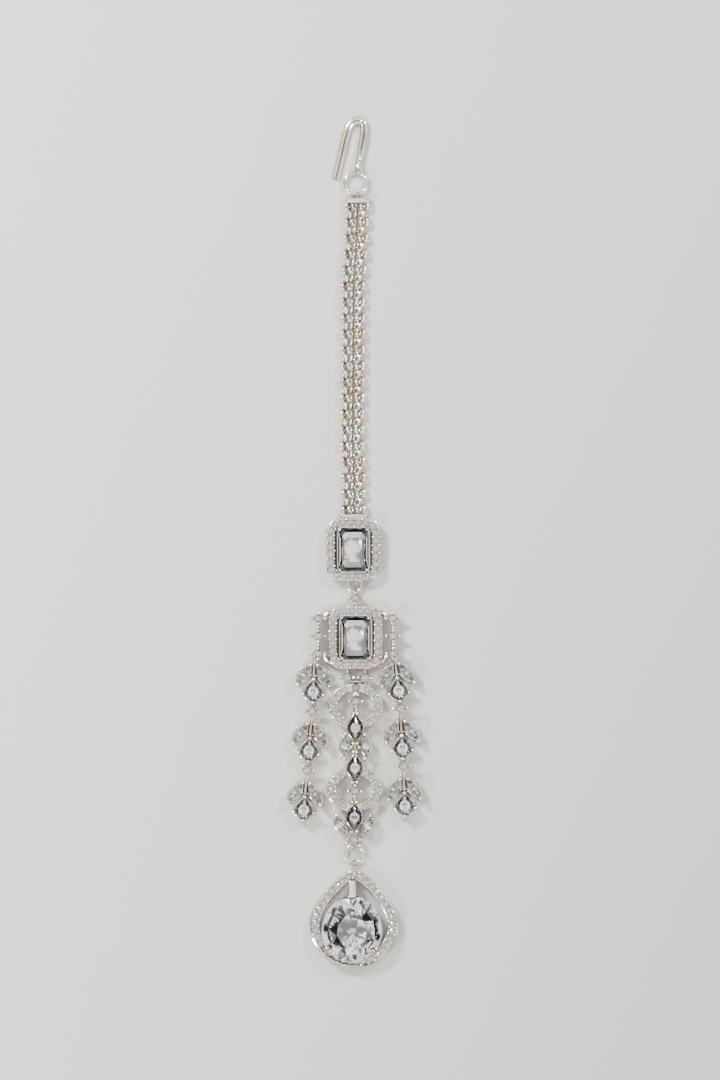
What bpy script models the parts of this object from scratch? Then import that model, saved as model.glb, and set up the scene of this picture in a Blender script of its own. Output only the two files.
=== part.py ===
"""Maang tikka: a plated forehead ornament set with clear stones, lying on its back.

A crook hook holds a woven chain, a chain holds two framed plaques, and the lower
plaque carries a centre panel, a pear drop and two side strands of flowers.
+Y runs towards the hook, +X is the wearer-facing right of the view from above,
+Z is up. Every piece rests on z = 0 and the origin is below the middle of the box.
"""

import math

import bpy
import bmesh
from mathutils import Matrix, Vector

MM = 0.001

# Heights shared by every piece
GAP = 0.3 * MM
LINK_HEIGHT = 0.85 * MM
PLATE_BOTTOM = 1.4 * MM
PLATE_TOP = 2.2 * MM
GEM_HEIGHT = 1.1 * MM

# Jump rings and the eyelets that stand across them
RING_WIRE = 0.55 * MM
STRAND_WIRE = 0.35 * MM
EYELET_WIRE = 0.27 * MM

# Hook: two wires side by side, bent to a crook, with a flared neck and a ring
HOOK_WIRE = 0.82 * MM
HOOK_RING_WIDTH = 4.8 * MM
HOOK_NECK_LENGTH = 2.6 * MM
HOOK_NECK_WIDTH = 1.7 * MM
HOOK_LENGTH = 8.0 * MM
HOOK_POINT_SPREAD = 4.3 * MM
# Crook centreline: across and along, as shares of the spread and of the length
HOOK_ROUTE = [
    (0.00, 0.00),
    (0.06, 0.09),
    (0.15, 0.35),
    (0.25, 0.62),
    (0.27, 0.84),
    (0.19, 0.95),
    (0.02, 1.00),
    (-0.19, 0.97),
    (-0.37, 0.87),
    (-0.52, 0.70),
    (-0.65, 0.40),
    (-0.78, 0.09),
    (-1.00, -0.39),
]

# Woven chain: a flat three-lobed band between two end bars
CHAIN_LENGTH = 58.4 * MM
CHAIN_WIDTH = 4.5 * MM
CHAIN_THICKNESS = 1.6 * MM
CHAIN_PITCH = 3.1 * MM
CHAIN_SCALLOP = 0.06
CHAIN_BAR_WIDTH = 4.8 * MM
CHAIN_BAR_LENGTH = 1.1 * MM
# Sideways drift of the chain: share of its length from the top, and distance
CHAIN_ROUTE = [
    (0.00, 0.74 * MM),
    (0.14, 0.42 * MM),
    (0.24, -0.10 * MM),
    (0.40, -0.08 * MM),
    (0.60, -0.18 * MM),
    (0.76, -0.26 * MM),
    (0.88, 0.04 * MM),
    (1.00, 0.00),
]

# Framed plaques
PLAQUE_WIDTH = 10.2 * MM
PLAQUE_LENGTH = 11.9 * MM
PLAQUE_CORNER = 2.6 * MM
PLAQUE_BASE_INSET = 1.25 * MM
PLAQUE_STONE_WIDTH = 5.8 * MM
PLAQUE_STONE_LENGTH = 8.35 * MM
PLAQUE_STONE_CORNER = 0.9 * MM
UPPER_PLAQUE_SHIFT = -0.39 * MM
PLAQUE_RING_WIDTH = 3.1 * MM

# Pave stones along the frames
PAVE_RADIUS = 0.62 * MM
PAVE_HEIGHT = 0.35 * MM

# Small four-prong stones
SMALL_RADIUS = 0.92 * MM
SMALL_HEIGHT = 0.55 * MM
PRONG_RADIUS = 0.27 * MM
PRONG_REACH = 1.32 * MM
COLUMN_OFFSET = 7.1 * MM
COLUMN_PITCH = 3.35 * MM
COLUMN_LEAN = 0.02
ARM_WIRE = 0.7 * MM
ARM_HEIGHT = 0.93 * MM

# Flowers of the side strands
LEAF_LENGTH = 4.1 * MM
LEAF_WIDTH = 2.0 * MM
LEAF_TILT = math.radians(32.0)
LEAF_OFFSET = 1.95 * MM
LEAF_DROP = 2.0 * MM
PEAR_LENGTH = 4.0 * MM
PEAR_WIDTH = 3.4 * MM
PEAR_DROP = 2.9 * MM
SETTING_RIM = 0.22 * MM
FLOWER_STONE_TO_NECK = 2.35 * MM
STRANDS = [
    {
        "side": "left",
        "neck": (-7.85 * MM, -5.1 * MM),
        "tilts": (-2.0, -4.6, -5.0),
        "link": 2.0 * MM,
    },
    {
        "side": "right",
        "neck": (7.65 * MM, -4.9 * MM),
        "tilts": (6.5, 3.2, 2.2),
        "link": 1.7 * MM,
    },
]

# Centre panel below the main plaque
CENTRE_TILT = math.radians(-0.7)
CENTRE_SHIFT = 0.12 * MM
POST_SPREAD = 1.68 * MM
POST_LENGTH = 0.2 * MM
CREST_DROP = 0.95 * MM
HOOP_RADIUS_X = 5.2 * MM
HOOP_RADIUS_Y = 4.4 * MM
HOOP_BAND = 1.7 * MM
MARQUISE_LENGTH = 4.7 * MM
MARQUISE_WIDTH = 2.9 * MM
SIDE_LEAF_LENGTH = 3.9 * MM
SIDE_LEAF_WIDTH = 1.6 * MM

# Pear drop
DROP_RING_WIDTH = 3.9 * MM
DROP_LENGTH = 18.65 * MM
DROP_WIDTH = 16.5 * MM
DROP_BAND = 1.75 * MM
DROP_STONE_LENGTH = 13.1 * MM
DROP_STONE_WIDTH = 11.5 * MM
DROP_STONE_HEIGHT = 2.2 * MM
DROP_STONE_SHIFT = -0.4 * MM

METAL_COLOUR = (0.83, 0.81, 0.78, 1.0)
STONE_COLOUR = (0.93, 0.93, 0.96, 1.0)


def clear_scene():
    """Remove what the file holds, so that the script can be run again."""
    for obj in list(bpy.data.objects):
        bpy.data.objects.remove(obj, do_unlink=True)
    for mesh in list(bpy.data.meshes):
        bpy.data.meshes.remove(mesh)
    for curve in list(bpy.data.curves):
        bpy.data.curves.remove(curve)


def make_material(name, colour, metallic, roughness, transmission=0.0):
    """Return a Principled material of its own for one piece."""
    material = bpy.data.materials.new(name)
    material.use_nodes = True
    shader = material.node_tree.nodes["Principled BSDF"]
    shader.inputs["Base Color"].default_value = colour
    shader.inputs["Metallic"].default_value = metallic
    shader.inputs["Roughness"].default_value = roughness
    shader.inputs["Transmission Weight"].default_value = transmission
    return material


def add_empty(name, location, angle, parent):
    """Add the placing empty of one unit."""
    empty = bpy.data.objects.new(name, None)
    empty.empty_display_size = 2.0 * MM
    empty.location = location
    empty.rotation_euler = (0.0, 0.0, angle)
    empty.parent = parent
    PARTS.objects.link(empty)
    return empty


def finish_part(obj, name, parent, stone=False, smooth_angle=35.0):
    """Name a piece, give it its material and hang it under its unit's empty."""
    obj.name = name
    obj.data.name = name
    obj.data.materials.clear()
    if stone:
        obj.data.materials.append(make_material(name, STONE_COLOUR, 0.0, 0.02, 0.9))
        for polygon in obj.data.polygons:
            polygon.use_smooth = False
    else:
        obj.data.materials.append(make_material(name, METAL_COLOUR, 1.0, 0.16))
        obj.data.shade_smooth()
        obj.data.set_sharp_from_angle(angle=math.radians(smooth_angle))
    obj.parent = parent
    return obj


def object_from_bmesh(shape, name="piece"):
    """Turn a bmesh into a linked object with outward faces."""
    bmesh.ops.recalc_face_normals(shape, faces=shape.faces)
    mesh = bpy.data.meshes.new(name)
    shape.to_mesh(mesh)
    shape.free()
    obj = bpy.data.objects.new(name, mesh)
    PARTS.objects.link(obj)
    return obj


def curve_to_mesh(curve_object):
    """Swap a curve object for a welded mesh object in the same place."""
    bpy.context.view_layer.update()
    depsgraph = bpy.context.evaluated_depsgraph_get()
    mesh = bpy.data.meshes.new_from_object(curve_object.evaluated_get(depsgraph))
    shape = bmesh.new()
    shape.from_mesh(mesh)
    bmesh.ops.transform(shape, matrix=curve_object.matrix_world, verts=shape.verts)
    bmesh.ops.remove_doubles(shape, verts=shape.verts, dist=0.001 * MM)
    bpy.data.meshes.remove(mesh)
    curve = curve_object.data
    bpy.data.objects.remove(curve_object, do_unlink=True)
    bpy.data.curves.remove(curve)
    return object_from_bmesh(shape)


def plate(outline, bottom, top, hole=None):
    """A flat outline, with an optional hole, from one height to another."""
    curve = bpy.data.curves.new("outline", "CURVE")
    curve.dimensions = "2D"
    curve.fill_mode = "BOTH"
    curve.extrude = (top - bottom) / 2.0
    for loop in [outline] + ([hole] if hole else []):
        spline = curve.splines.new("POLY")
        spline.points.add(len(loop) - 1)
        for point, (x, y) in zip(spline.points, loop):
            point.co = (x, y, 0.0, 1.0)
        spline.use_cyclic_u = True
    obj = bpy.data.objects.new("outline", curve)
    obj.location = (0.0, 0.0, (bottom + top) / 2.0)
    PARTS.objects.link(obj)
    return curve_to_mesh(obj)


def tube(points, radius, cyclic=False):
    """A round wire through a list of points."""
    curve = bpy.data.curves.new("wire", "CURVE")
    curve.dimensions = "3D"
    curve.bevel_depth = radius
    curve.bevel_resolution = 2
    curve.use_fill_caps = True
    spline = curve.splines.new("POLY")
    spline.points.add(len(points) - 1)
    for point, place in zip(spline.points, points):
        point.co = (place[0], place[1], place[2], 1.0)
    spline.use_cyclic_u = cyclic
    obj = bpy.data.objects.new("wire", curve)
    PARTS.objects.link(obj)
    return curve_to_mesh(obj)


def cone(x, y, bottom, top, radius_bottom, radius_top, sides=8):
    """An upright cone or cylinder."""
    shape = bmesh.new()
    middle = Matrix.Translation((x, y, (bottom + top) / 2.0))
    turn = Matrix.Rotation(math.pi / sides, 4, "Z")
    bmesh.ops.create_cone(
        shape,
        cap_ends=True,
        segments=sides,
        radius1=radius_bottom,
        radius2=radius_top,
        depth=top - bottom,
        matrix=middle @ turn,
    )
    return object_from_bmesh(shape)


def box(x_low, x_high, y_low, y_high, bottom, top, angle=0.0):
    """A block between two corners, turned about its own middle."""
    shape = bmesh.new()
    middle = Matrix.Translation(
        ((x_low + x_high) / 2.0, (y_low + y_high) / 2.0, (bottom + top) / 2.0)
    )
    size = Matrix.Diagonal((x_high - x_low, y_high - y_low, top - bottom, 1.0))
    turn = Matrix.Rotation(angle, 4, "Z")
    bmesh.ops.create_cube(shape, size=1.0, matrix=middle @ turn @ size)
    return object_from_bmesh(shape)


def ring(x, y, radius, wire, upright=False, segments=12):
    """A wire ring about its middle line, lying flat or standing across a ring."""
    bpy.ops.mesh.primitive_torus_add(
        major_segments=segments,
        minor_segments=6,
        major_radius=radius,
        minor_radius=wire / 2.0,
        location=(x, y, LINK_HEIGHT),
        rotation=(0.0, math.pi / 2.0 if upright else 0.0, 0.0),
    )
    obj = bpy.context.object
    obj.data.transform(obj.matrix_world)
    obj.matrix_world = Matrix.Identity(4)
    for collection in list(obj.users_collection):
        collection.objects.unlink(obj)
    PARTS.objects.link(obj)
    return obj


def eyelet(x, y, wire=RING_WIRE):
    """An upright eye that a flat ring of the given wire passes through."""
    return ring(x, y, wire / 2.0 + GAP + EYELET_WIRE / 2.0, EYELET_WIRE, True, 10)


def fuse(pieces):
    """Union all pieces into the first one."""
    base = pieces[0]
    details = bpy.data.collections.new("details")
    for piece in pieces[1:]:
        details.objects.link(piece)
    union = base.modifiers.new("union", "BOOLEAN")
    union.operation = "UNION"
    union.solver = "EXACT"
    union.operand_type = "COLLECTION"
    union.collection = details
    bpy.context.view_layer.update()
    depsgraph = bpy.context.evaluated_depsgraph_get()
    mesh = bpy.data.meshes.new_from_object(base.evaluated_get(depsgraph))
    for piece in pieces:
        bpy.data.objects.remove(piece, do_unlink=True)
    bpy.data.collections.remove(details)
    shape = bmesh.new()
    shape.from_mesh(mesh)
    bpy.data.meshes.remove(mesh)
    bmesh.ops.remove_doubles(shape, verts=shape.verts, dist=0.0005 * MM)
    bmesh.ops.dissolve_degenerate(shape, edges=shape.edges, dist=0.0005 * MM)
    bmesh.ops.dissolve_limit(
        shape,
        angle_limit=math.radians(0.5),
        verts=shape.verts,
        edges=shape.edges,
    )
    bmesh.ops.triangulate(shape, faces=shape.faces)
    return object_from_bmesh(shape)


def rectangle_outline(width, length, corner):
    """A rectangle with its corners cut to two short sides each."""
    points = []
    half_x = width / 2.0 - corner
    half_y = length / 2.0 - corner
    for index in range(4):
        centre_x = half_x if index in (0, 3) else -half_x
        centre_y = half_y if index in (0, 1) else -half_y
        for step in range(3):
            angle = math.pi / 2.0 * (index + step / 2.0)
            points.append(
                (centre_x + corner * math.cos(angle), centre_y + corner * math.sin(angle))
            )
    return points


def ellipse_outline(radius_x, radius_y, count, x=0.0, y=0.0):
    """Points round an ellipse, anticlockwise."""
    points = []
    for index in range(count):
        angle = 2.0 * math.pi * index / count
        points.append((x + radius_x * math.cos(angle), y + radius_y * math.sin(angle)))
    return points


def pear_outline(width, length, count=10, taper=1.9, shoulder=1.0):
    """A pear with its tip at the origin, hanging down the Y axis."""
    widest = length * 0.56
    right = []
    half = count // 2
    for index in range(half + 1):
        share = index / half
        if share <= 0.5:
            down = widest * share * 2.0
            across = width / 2.0 * (1.0 - (1.0 - share * 2.0) ** taper) ** shoulder
        else:
            angle = math.pi / 2.0 * (share - 0.5) * 2.0
            down = widest + (length - widest) * math.sin(angle)
            across = width / 2.0 * math.cos(angle)
        right.append((across, -down))
    left = [(-x, y) for x, y in right[1:-1]]
    return left + list(reversed(right))


def marquise_outline(width, length, count=8):
    """A pointed leaf about the origin, upright."""
    right = []
    half = count // 2
    for index in range(half + 1):
        share = 2.0 * index / half - 1.0
        right.append((width / 2.0 * (1.0 - share * share), length / 2.0 * share))
    left = [(-x, y) for x, y in reversed(right[1:-1])]
    return right + left


def grown(outline, distance):
    """An outline moved outwards, rounded at its sharp corners."""
    count = len(outline)
    result = []
    for index in range(count):
        before = Vector(outline[index - 1])
        here = Vector(outline[index])
        after = Vector(outline[(index + 1) % count])
        first = (here - before).normalized()
        second = (after - here).normalized()
        normal_a = Vector((first.y, -first.x))
        normal_b = Vector((second.y, -second.x))
        turn = normal_a.angle_signed(normal_b)
        if abs(turn) > math.radians(55.0) and distance > 0.0:
            for share in (0.0, 0.5, 1.0):
                normal = normal_a.lerp(normal_b, share).normalized()
                result.append(tuple(here + normal * distance))
        else:
            normal = (normal_a + normal_b).normalized()
            result.append(tuple(here + normal * distance / math.cos(turn / 2.0)))
    return result


def moved(outline, x, y, angle=0.0):
    """An outline turned about the origin and then moved."""
    cosine = math.cos(angle)
    sine = math.sin(angle)
    return [(x + a * cosine - b * sine, y + a * sine + b * cosine) for a, b in outline]


def gem(outline, girdle, height, table=0.62, pavilion=0.0):
    """A cut stone: flat table, sloping crown facets and a flat or tapered back."""
    centre_x = sum(point[0] for point in outline) / len(outline)
    centre_y = sum(point[1] for point in outline) / len(outline)
    levels = [
        (girdle, 1.0),
        (girdle + height * 0.12, 1.0),
        (girdle + height, table),
    ]
    if pavilion > 0.0:
        levels.insert(0, (girdle - height * pavilion, 0.45))
    shape = bmesh.new()
    rows = []
    for level, scale in levels:
        row = []
        for x, y in outline:
            place = (
                centre_x + (x - centre_x) * scale,
                centre_y + (y - centre_y) * scale,
                level,
            )
            row.append(shape.verts.new(place))
        rows.append(row)
    edges = []
    for row in rows:
        for index in range(len(row)):
            edges.append(shape.edges.new((row[index - 1], row[index])))
        if row is rows[0]:
            shape.faces.new(row)
        if row is rows[-1]:
            shape.faces.new(row)
    count = len(outline)
    for lower in range(len(rows) - 1):
        loop = edges[lower * count:(lower + 2) * count]
        bmesh.ops.bridge_loops(shape, edges=loop)
    return object_from_bmesh(shape)


def spaced(outline, spacing):
    """Places at even spacing along a closed outline."""
    count = len(outline)
    lengths = []
    for index in range(count):
        step = Vector(outline[(index + 1) % count]) - Vector(outline[index])
        lengths.append(step.length)
    total = sum(lengths)
    number = max(6, round(total / spacing))
    places = []
    for item in range(number):
        target = total * item / number
        index = 0
        while target > lengths[index]:
            target -= lengths[index]
            index += 1
        start = Vector(outline[index])
        end = Vector(outline[(index + 1) % count])
        places.append(start.lerp(end, target / lengths[index]))
    return places


def pave(x, y):
    """One pave stone, sunk a little in the plate's top."""
    return cone(
        x,
        y,
        PLATE_TOP - 0.15 * MM,
        PLATE_TOP + PAVE_HEIGHT,
        PAVE_RADIUS,
        PAVE_RADIUS * 0.6,
    )


def small_stone(x, y, prongs=("left", "right")):
    """A small round stone on its own seat with bead prongs at its sides."""
    pieces = [
        cone(x, y, PLATE_BOTTOM, PLATE_TOP, SMALL_RADIUS, SMALL_RADIUS, 8),
        cone(
            x,
            y,
            PLATE_TOP - 0.15 * MM,
            PLATE_TOP + SMALL_HEIGHT,
            SMALL_RADIUS * 0.85,
            SMALL_RADIUS * 0.5,
        ),
    ]
    reach = {
        "left": (-PRONG_REACH, 0.0),
        "right": (PRONG_REACH, 0.0),
        "top": (0.0, PRONG_REACH),
        "bottom": (0.0, -PRONG_REACH),
    }
    half = PRONG_RADIUS * 0.6
    for side in prongs:
        along_x, along_y = reach[side]
        pieces.append(
            box(
                x + min(along_x, -half),
                x + max(along_x, half),
                y + min(along_y, -half),
                y + max(along_y, half),
                PLATE_BOTTOM + 0.1 * MM,
                PLATE_TOP - 0.05 * MM,
            )
        )
        pieces.append(prong(x + along_x, y + along_y))
    return pieces


def prong(x, y, bottom=PLATE_BOTTOM, top=PLATE_TOP + 0.45 * MM):
    """A bead prong: a short round pin with a narrowed top."""
    return cone(x, y, bottom, top, PRONG_RADIUS, PRONG_RADIUS * 0.8, 6)


def halo_plaque(centre_x, centre_y):
    """A plaque's frame, its stepped base and its pave border."""
    outline = rectangle_outline(PLAQUE_WIDTH, PLAQUE_LENGTH, PLAQUE_CORNER)
    stone = rectangle_outline(
        PLAQUE_STONE_WIDTH, PLAQUE_STONE_LENGTH, PLAQUE_STONE_CORNER
    )
    window = grown(stone, -0.9 * MM)
    base = grown(outline, -PLAQUE_BASE_INSET)
    pieces = [
        plate(moved(outline, centre_x, centre_y), PLATE_BOTTOM, PLATE_TOP,
              moved(window, centre_x, centre_y)),
        plate(moved(base, centre_x, centre_y), 0.0, PLATE_BOTTOM + 0.1 * MM,
              moved(grown(window, -0.05 * MM), centre_x, centre_y)),
    ]
    border = (PLAQUE_WIDTH - PLAQUE_STONE_WIDTH) / 4.0
    middle = grown(outline, -border)
    for place in spaced(middle, 1.5 * MM):
        pieces.append(pave(centre_x + place.x, centre_y + place.y))
    return pieces


def plaque_gem(centre_x, centre_y):
    """The large cut stone of a plaque."""
    outline = rectangle_outline(
        PLAQUE_STONE_WIDTH, PLAQUE_STONE_LENGTH, PLAQUE_STONE_CORNER
    )
    girdle = PLATE_TOP + PAVE_HEIGHT + GAP
    return gem(moved(outline, centre_x, centre_y), girdle, GEM_HEIGHT, 0.68, 0.0)


def build_hook(ring_y):
    """The crook, its flared neck and the ring it is soldered to."""
    radius = HOOK_RING_WIDTH / 2.0 - RING_WIRE / 2.0
    neck_bottom = ring_y + radius - RING_WIRE / 4.0
    neck_top = neck_bottom + HOOK_NECK_LENGTH
    pieces = [ring(0.0, ring_y, radius, RING_WIRE, False, 16)]
    neck_x = 0.38 * MM
    shape = bmesh.new()
    lie = Matrix.Translation((neck_x, (neck_bottom + neck_top) / 2.0, LINK_HEIGHT))
    bmesh.ops.create_cone(
        shape,
        cap_ends=True,
        segments=10,
        radius1=HOOK_NECK_WIDTH / 2.0,
        radius2=HOOK_WIRE * 0.62,
        depth=neck_top - neck_bottom,
        matrix=lie @ Matrix.Rotation(-math.pi / 2.0, 4, "X"),
    )
    pieces.append(object_from_bmesh(shape))
    for side in (-1.0, 1.0):
        points = []
        count = len(HOOK_ROUTE)
        for index, (across, along) in enumerate(HOOK_ROUTE):
            low = Vector(HOOK_ROUTE[max(index - 1, 0)])
            high = Vector(HOOK_ROUTE[min(index + 1, count - 1)])
            step = Vector(
                ((high.x - low.x) * HOOK_POINT_SPREAD, (high.y - low.y) * HOOK_LENGTH)
            ).normalized()
            share = index / (count - 1)
            height = LINK_HEIGHT + (HOOK_WIRE / 2.0 - LINK_HEIGHT) * share
            spread = side * HOOK_WIRE * 0.44 * min(1.0, 0.3 + share * 6.0)
            points.append(
                (
                    neck_x + across * HOOK_POINT_SPREAD - step.y * spread,
                    neck_top - 0.5 * MM + along * HOOK_LENGTH + step.x * spread,
                    height,
                )
            )
        pieces.append(tube(points, HOOK_WIRE / 2.0))
    return fuse(pieces)


def build_chain(top, bottom, shift):
    """The woven band: a three-lobed section drawn along the chain's route."""
    profile = bpy.data.curves.new("profile", "CURVE")
    profile.dimensions = "2D"
    section = profile.splines.new("POLY")
    sides = 14
    section.points.add(sides - 1)
    for index, point in enumerate(section.points):
        angle = 2.0 * math.pi * index / sides
        x = CHAIN_WIDTH / 2.0 * math.cos(angle)
        lobe = 0.86 + 0.14 * math.cos(3.0 * math.pi * math.cos(angle))
        y = CHAIN_THICKNESS / 2.0 * lobe * abs(math.sin(angle)) ** 0.6
        if math.sin(angle) < 0.0:
            y = -y
        point.co = (x, y, 0.0, 1.0)
    section.use_cyclic_u = True
    profile_object = bpy.data.objects.new("profile", profile)
    PARTS.objects.link(profile_object)
    curve = bpy.data.curves.new("band", "CURVE")
    curve.dimensions = "3D"
    curve.twist_mode = "Z_UP"
    curve.bevel_mode = "OBJECT"
    curve.bevel_object = profile_object
    curve.use_fill_caps = True
    spline = curve.splines.new("POLY")
    count = 2 * round((top - bottom) / CHAIN_PITCH) + 1
    spline.points.add(count - 1)
    for index, point in enumerate(spline.points):
        share = index / (count - 1)
        x = shift + route_shift(share)
        point.co = (x, top + (bottom - top) * share, CHAIN_THICKNESS / 2.0, 1.0)
        point.radius = 1.0 if index % 2 else 1.0 - CHAIN_SCALLOP
    obj = bpy.data.objects.new("band", curve)
    PARTS.objects.link(obj)
    band = curve_to_mesh(obj)
    bpy.data.objects.remove(profile_object, do_unlink=True)
    return band


def route_shift(share):
    """Sideways place of the chain at a share of its length, smoothed."""
    for (low, low_x), (high, high_x) in zip(CHAIN_ROUTE, CHAIN_ROUTE[1:]):
        if share <= high:
            blend = (share - low) / (high - low)
            blend = blend * blend * (3.0 - 2.0 * blend)
            return low_x + (high_x - low_x) * blend
    return CHAIN_ROUTE[-1][1]


def flower_setting(has_stone, has_link):
    """One flower: two leaf seats and a pear seat on a spine, with bead prongs."""
    pieces = []
    leaf = grown(marquise_outline(LEAF_WIDTH, LEAF_LENGTH), SETTING_RIM)
    for side in (-1.0, 1.0):
        angle = side * LEAF_TILT
        x = side * LEAF_OFFSET
        pieces.append(plate(moved(leaf, x, -LEAF_DROP, angle), PLATE_BOTTOM, PLATE_TOP))
        reach = LEAF_LENGTH / 2.0 + 0.3 * MM
        tip_x = x + side * reach * math.sin(LEAF_TILT)
        tip_y = -LEAF_DROP - reach * math.cos(LEAF_TILT)
        pieces.append(prong(tip_x, tip_y, 0.0))
    pear = grown(pear_outline(PEAR_WIDTH, PEAR_LENGTH), SETTING_RIM)
    pieces.append(plate(moved(pear, 0.0, -PEAR_DROP), PLATE_BOTTOM, PLATE_TOP))
    for side in (-1.0, 1.0):
        pieces.append(
            prong(
                side * (PEAR_WIDTH / 2.0 + 0.12 * MM),
                -PEAR_DROP - PEAR_LENGTH * 0.78,
            )
        )
    spine_bottom = -PEAR_DROP - PEAR_LENGTH * 0.5
    pieces.append(
        box(-0.55 * MM, 0.55 * MM, spine_bottom, 0.2 * MM, 0.0, PLATE_BOTTOM + 0.3 * MM)
    )
    pieces.append(
        box(-LEAF_OFFSET, LEAF_OFFSET, -LEAF_DROP - 0.3 * MM, -LEAF_DROP + 0.3 * MM,
            PLATE_BOTTOM - 0.5 * MM, PLATE_BOTTOM + 0.2 * MM)
    )
    if has_link:
        pieces.append(eyelet(0.0, -PEAR_DROP - PEAR_LENGTH + 0.45 * MM, STRAND_WIRE))
    if has_stone:
        head = FLOWER_STONE_TO_NECK
        pieces += small_stone(0.0, head)
        pieces.append(
            box(-0.45 * MM, 0.45 * MM, 0.0, head - 0.2 * MM, 0.0, PLATE_BOTTOM + 0.3 * MM)
        )
        pieces.append(eyelet(0.0, head + 0.45 * MM, STRAND_WIRE))
    return pieces


def build_flower(name, x, y, angle, has_stone, has_link, root):
    """A flower unit with its three stones; its origin is the flower's neck."""
    unit = add_empty(name + "_place", (x, y, 0.0), angle, root)
    setting = fuse(flower_setting(has_stone, has_link))
    finish_part(setting, name, unit)
    girdle = PLATE_TOP + GAP
    leaf = marquise_outline(LEAF_WIDTH, LEAF_LENGTH)
    for side, label in ((-1.0, "left"), (1.0, "right")):
        outline = moved(leaf, side * LEAF_OFFSET, -LEAF_DROP, side * LEAF_TILT)
        stone = gem(outline, girdle, GEM_HEIGHT * 0.6, 0.66, 0.0)
        finish_part(stone, name + "_leaf_" + label, unit, True)
    pear = moved(pear_outline(PEAR_WIDTH * 0.86, PEAR_LENGTH * 0.9), 0.0, -PEAR_DROP - 0.25 * MM)
    stone = gem(pear, girdle, GEM_HEIGHT * 0.65, 0.64, 0.0)
    finish_part(stone, name + "_pear", unit, True)


def build_strand(strand, root):
    """Three flowers hung one below the other, joined by two small rings."""
    side = strand["side"]
    x, y = strand["neck"]
    flower_end = PEAR_DROP + PEAR_LENGTH
    for number, tilt in enumerate(strand["tilts"], start=1):
        angle = math.radians(tilt)
        down = Vector((math.sin(angle), -math.cos(angle)))
        name = "flower_" + side + "_" + str(number)
        if number > 1:
            start = Vector((x, y))
            eye_above = start - above * 0.45 * MM
            stone = start + down * strand["link"]
            eye_below = stone - down * 0.45 * MM
            middle = (eye_above + eye_below) / 2.0
            radius = (eye_above - eye_below).length / 2.0
            link = ring(middle.x, middle.y, radius, STRAND_WIRE)
            finish_part(link, "strand_ring_" + side + "_" + str(number - 1), root)
            neck = stone + down * FLOWER_STONE_TO_NECK
            x, y = neck
        build_flower(name, x, y, angle, number > 1, number < 3, root)
        x, y = Vector((x, y)) + down * flower_end
        above = down


def column(side):
    """The three small stones beside the main plaque, with their two arms."""
    pieces = []
    places = []
    for step in (1, 0, -1):
        lean = -step * COLUMN_PITCH * COLUMN_LEAN
        places.append((side * (COLUMN_OFFSET + lean), step * COLUMN_PITCH + 0.35 * MM))
    for x, y in places:
        sides = ("left", "right", "top") if y > COLUMN_PITCH else ("left", "right")
        pieces += small_stone(x, y, sides)
    top = places[0]
    bottom = places[-1]
    lean = math.atan2(bottom[0] - top[0], top[1] - bottom[1])
    middle_x = (top[0] + bottom[0]) / 2.0
    pieces.append(
        box(middle_x - 0.45 * MM, middle_x + 0.45 * MM, bottom[1] - 0.3 * MM,
            top[1] + 0.3 * MM, 0.0, PLATE_BOTTOM + 0.3 * MM, lean)
    )
    for place in (top, bottom):
        towards = math.copysign(1.0, place[1])
        arm = [
            (place[0], place[1], ARM_HEIGHT),
            (place[0] - side * 1.3 * MM, place[1] + towards * 0.15 * MM, ARM_HEIGHT),
            (side * PLAQUE_WIDTH * 0.3, towards * PLAQUE_LENGTH * 0.36, ARM_HEIGHT),
        ]
        pieces.append(tube(arm, ARM_WIRE / 2.0))
    return pieces


def build_main_plaque(connector_y, eye_y):
    """The main plaque with its connector, side columns and upper posts."""
    pieces = halo_plaque(0.0, 0.0)
    pieces += small_stone(0.0, connector_y, ("left", "right"))
    pieces.append(
        box(-0.6 * MM, 0.6 * MM, PLAQUE_LENGTH / 2.0 - 1.6 * MM, connector_y + 0.2 * MM,
            0.0, PLATE_BOTTOM + 0.3 * MM)
    )
    pieces.append(eyelet(0.0, eye_y))
    for side in (-1.0, 1.0):
        pieces += column(side)
        x = side * POST_SPREAD + CENTRE_SHIFT
        low = -PLAQUE_LENGTH / 2.0 - 0.2 * MM
        pieces.append(
            box(x - 0.45 * MM, x + 0.45 * MM, low, low + 1.9 * MM, 0.0, PLATE_TOP - 0.2 * MM)
        )
    return fuse(pieces)


def hoop(centre_y, skip_top, skip_bottom):
    """An oval pave hoop; stones are left out where a marquise crosses it."""
    pieces = []
    outer = ellipse_outline(
        HOOP_RADIUS_X + HOOP_BAND / 2.0, HOOP_RADIUS_Y + HOOP_BAND / 2.0, 28, 0.0, centre_y
    )
    inner = ellipse_outline(
        HOOP_RADIUS_X - HOOP_BAND / 2.0, HOOP_RADIUS_Y - HOOP_BAND / 2.0, 28, 0.0, centre_y
    )
    pieces.append(plate(outer, 0.0, PLATE_TOP, inner))
    middle = ellipse_outline(HOOP_RADIUS_X, HOOP_RADIUS_Y, 48, 0.0, centre_y)
    for place in spaced(middle, 1.5 * MM):
        if abs(place.x) < MARQUISE_WIDTH * 0.75:
            if place.y > centre_y and skip_top:
                continue
            if place.y < centre_y and skip_bottom:
                continue
        pieces.append(pave(place.x, place.y))
    return pieces


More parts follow.
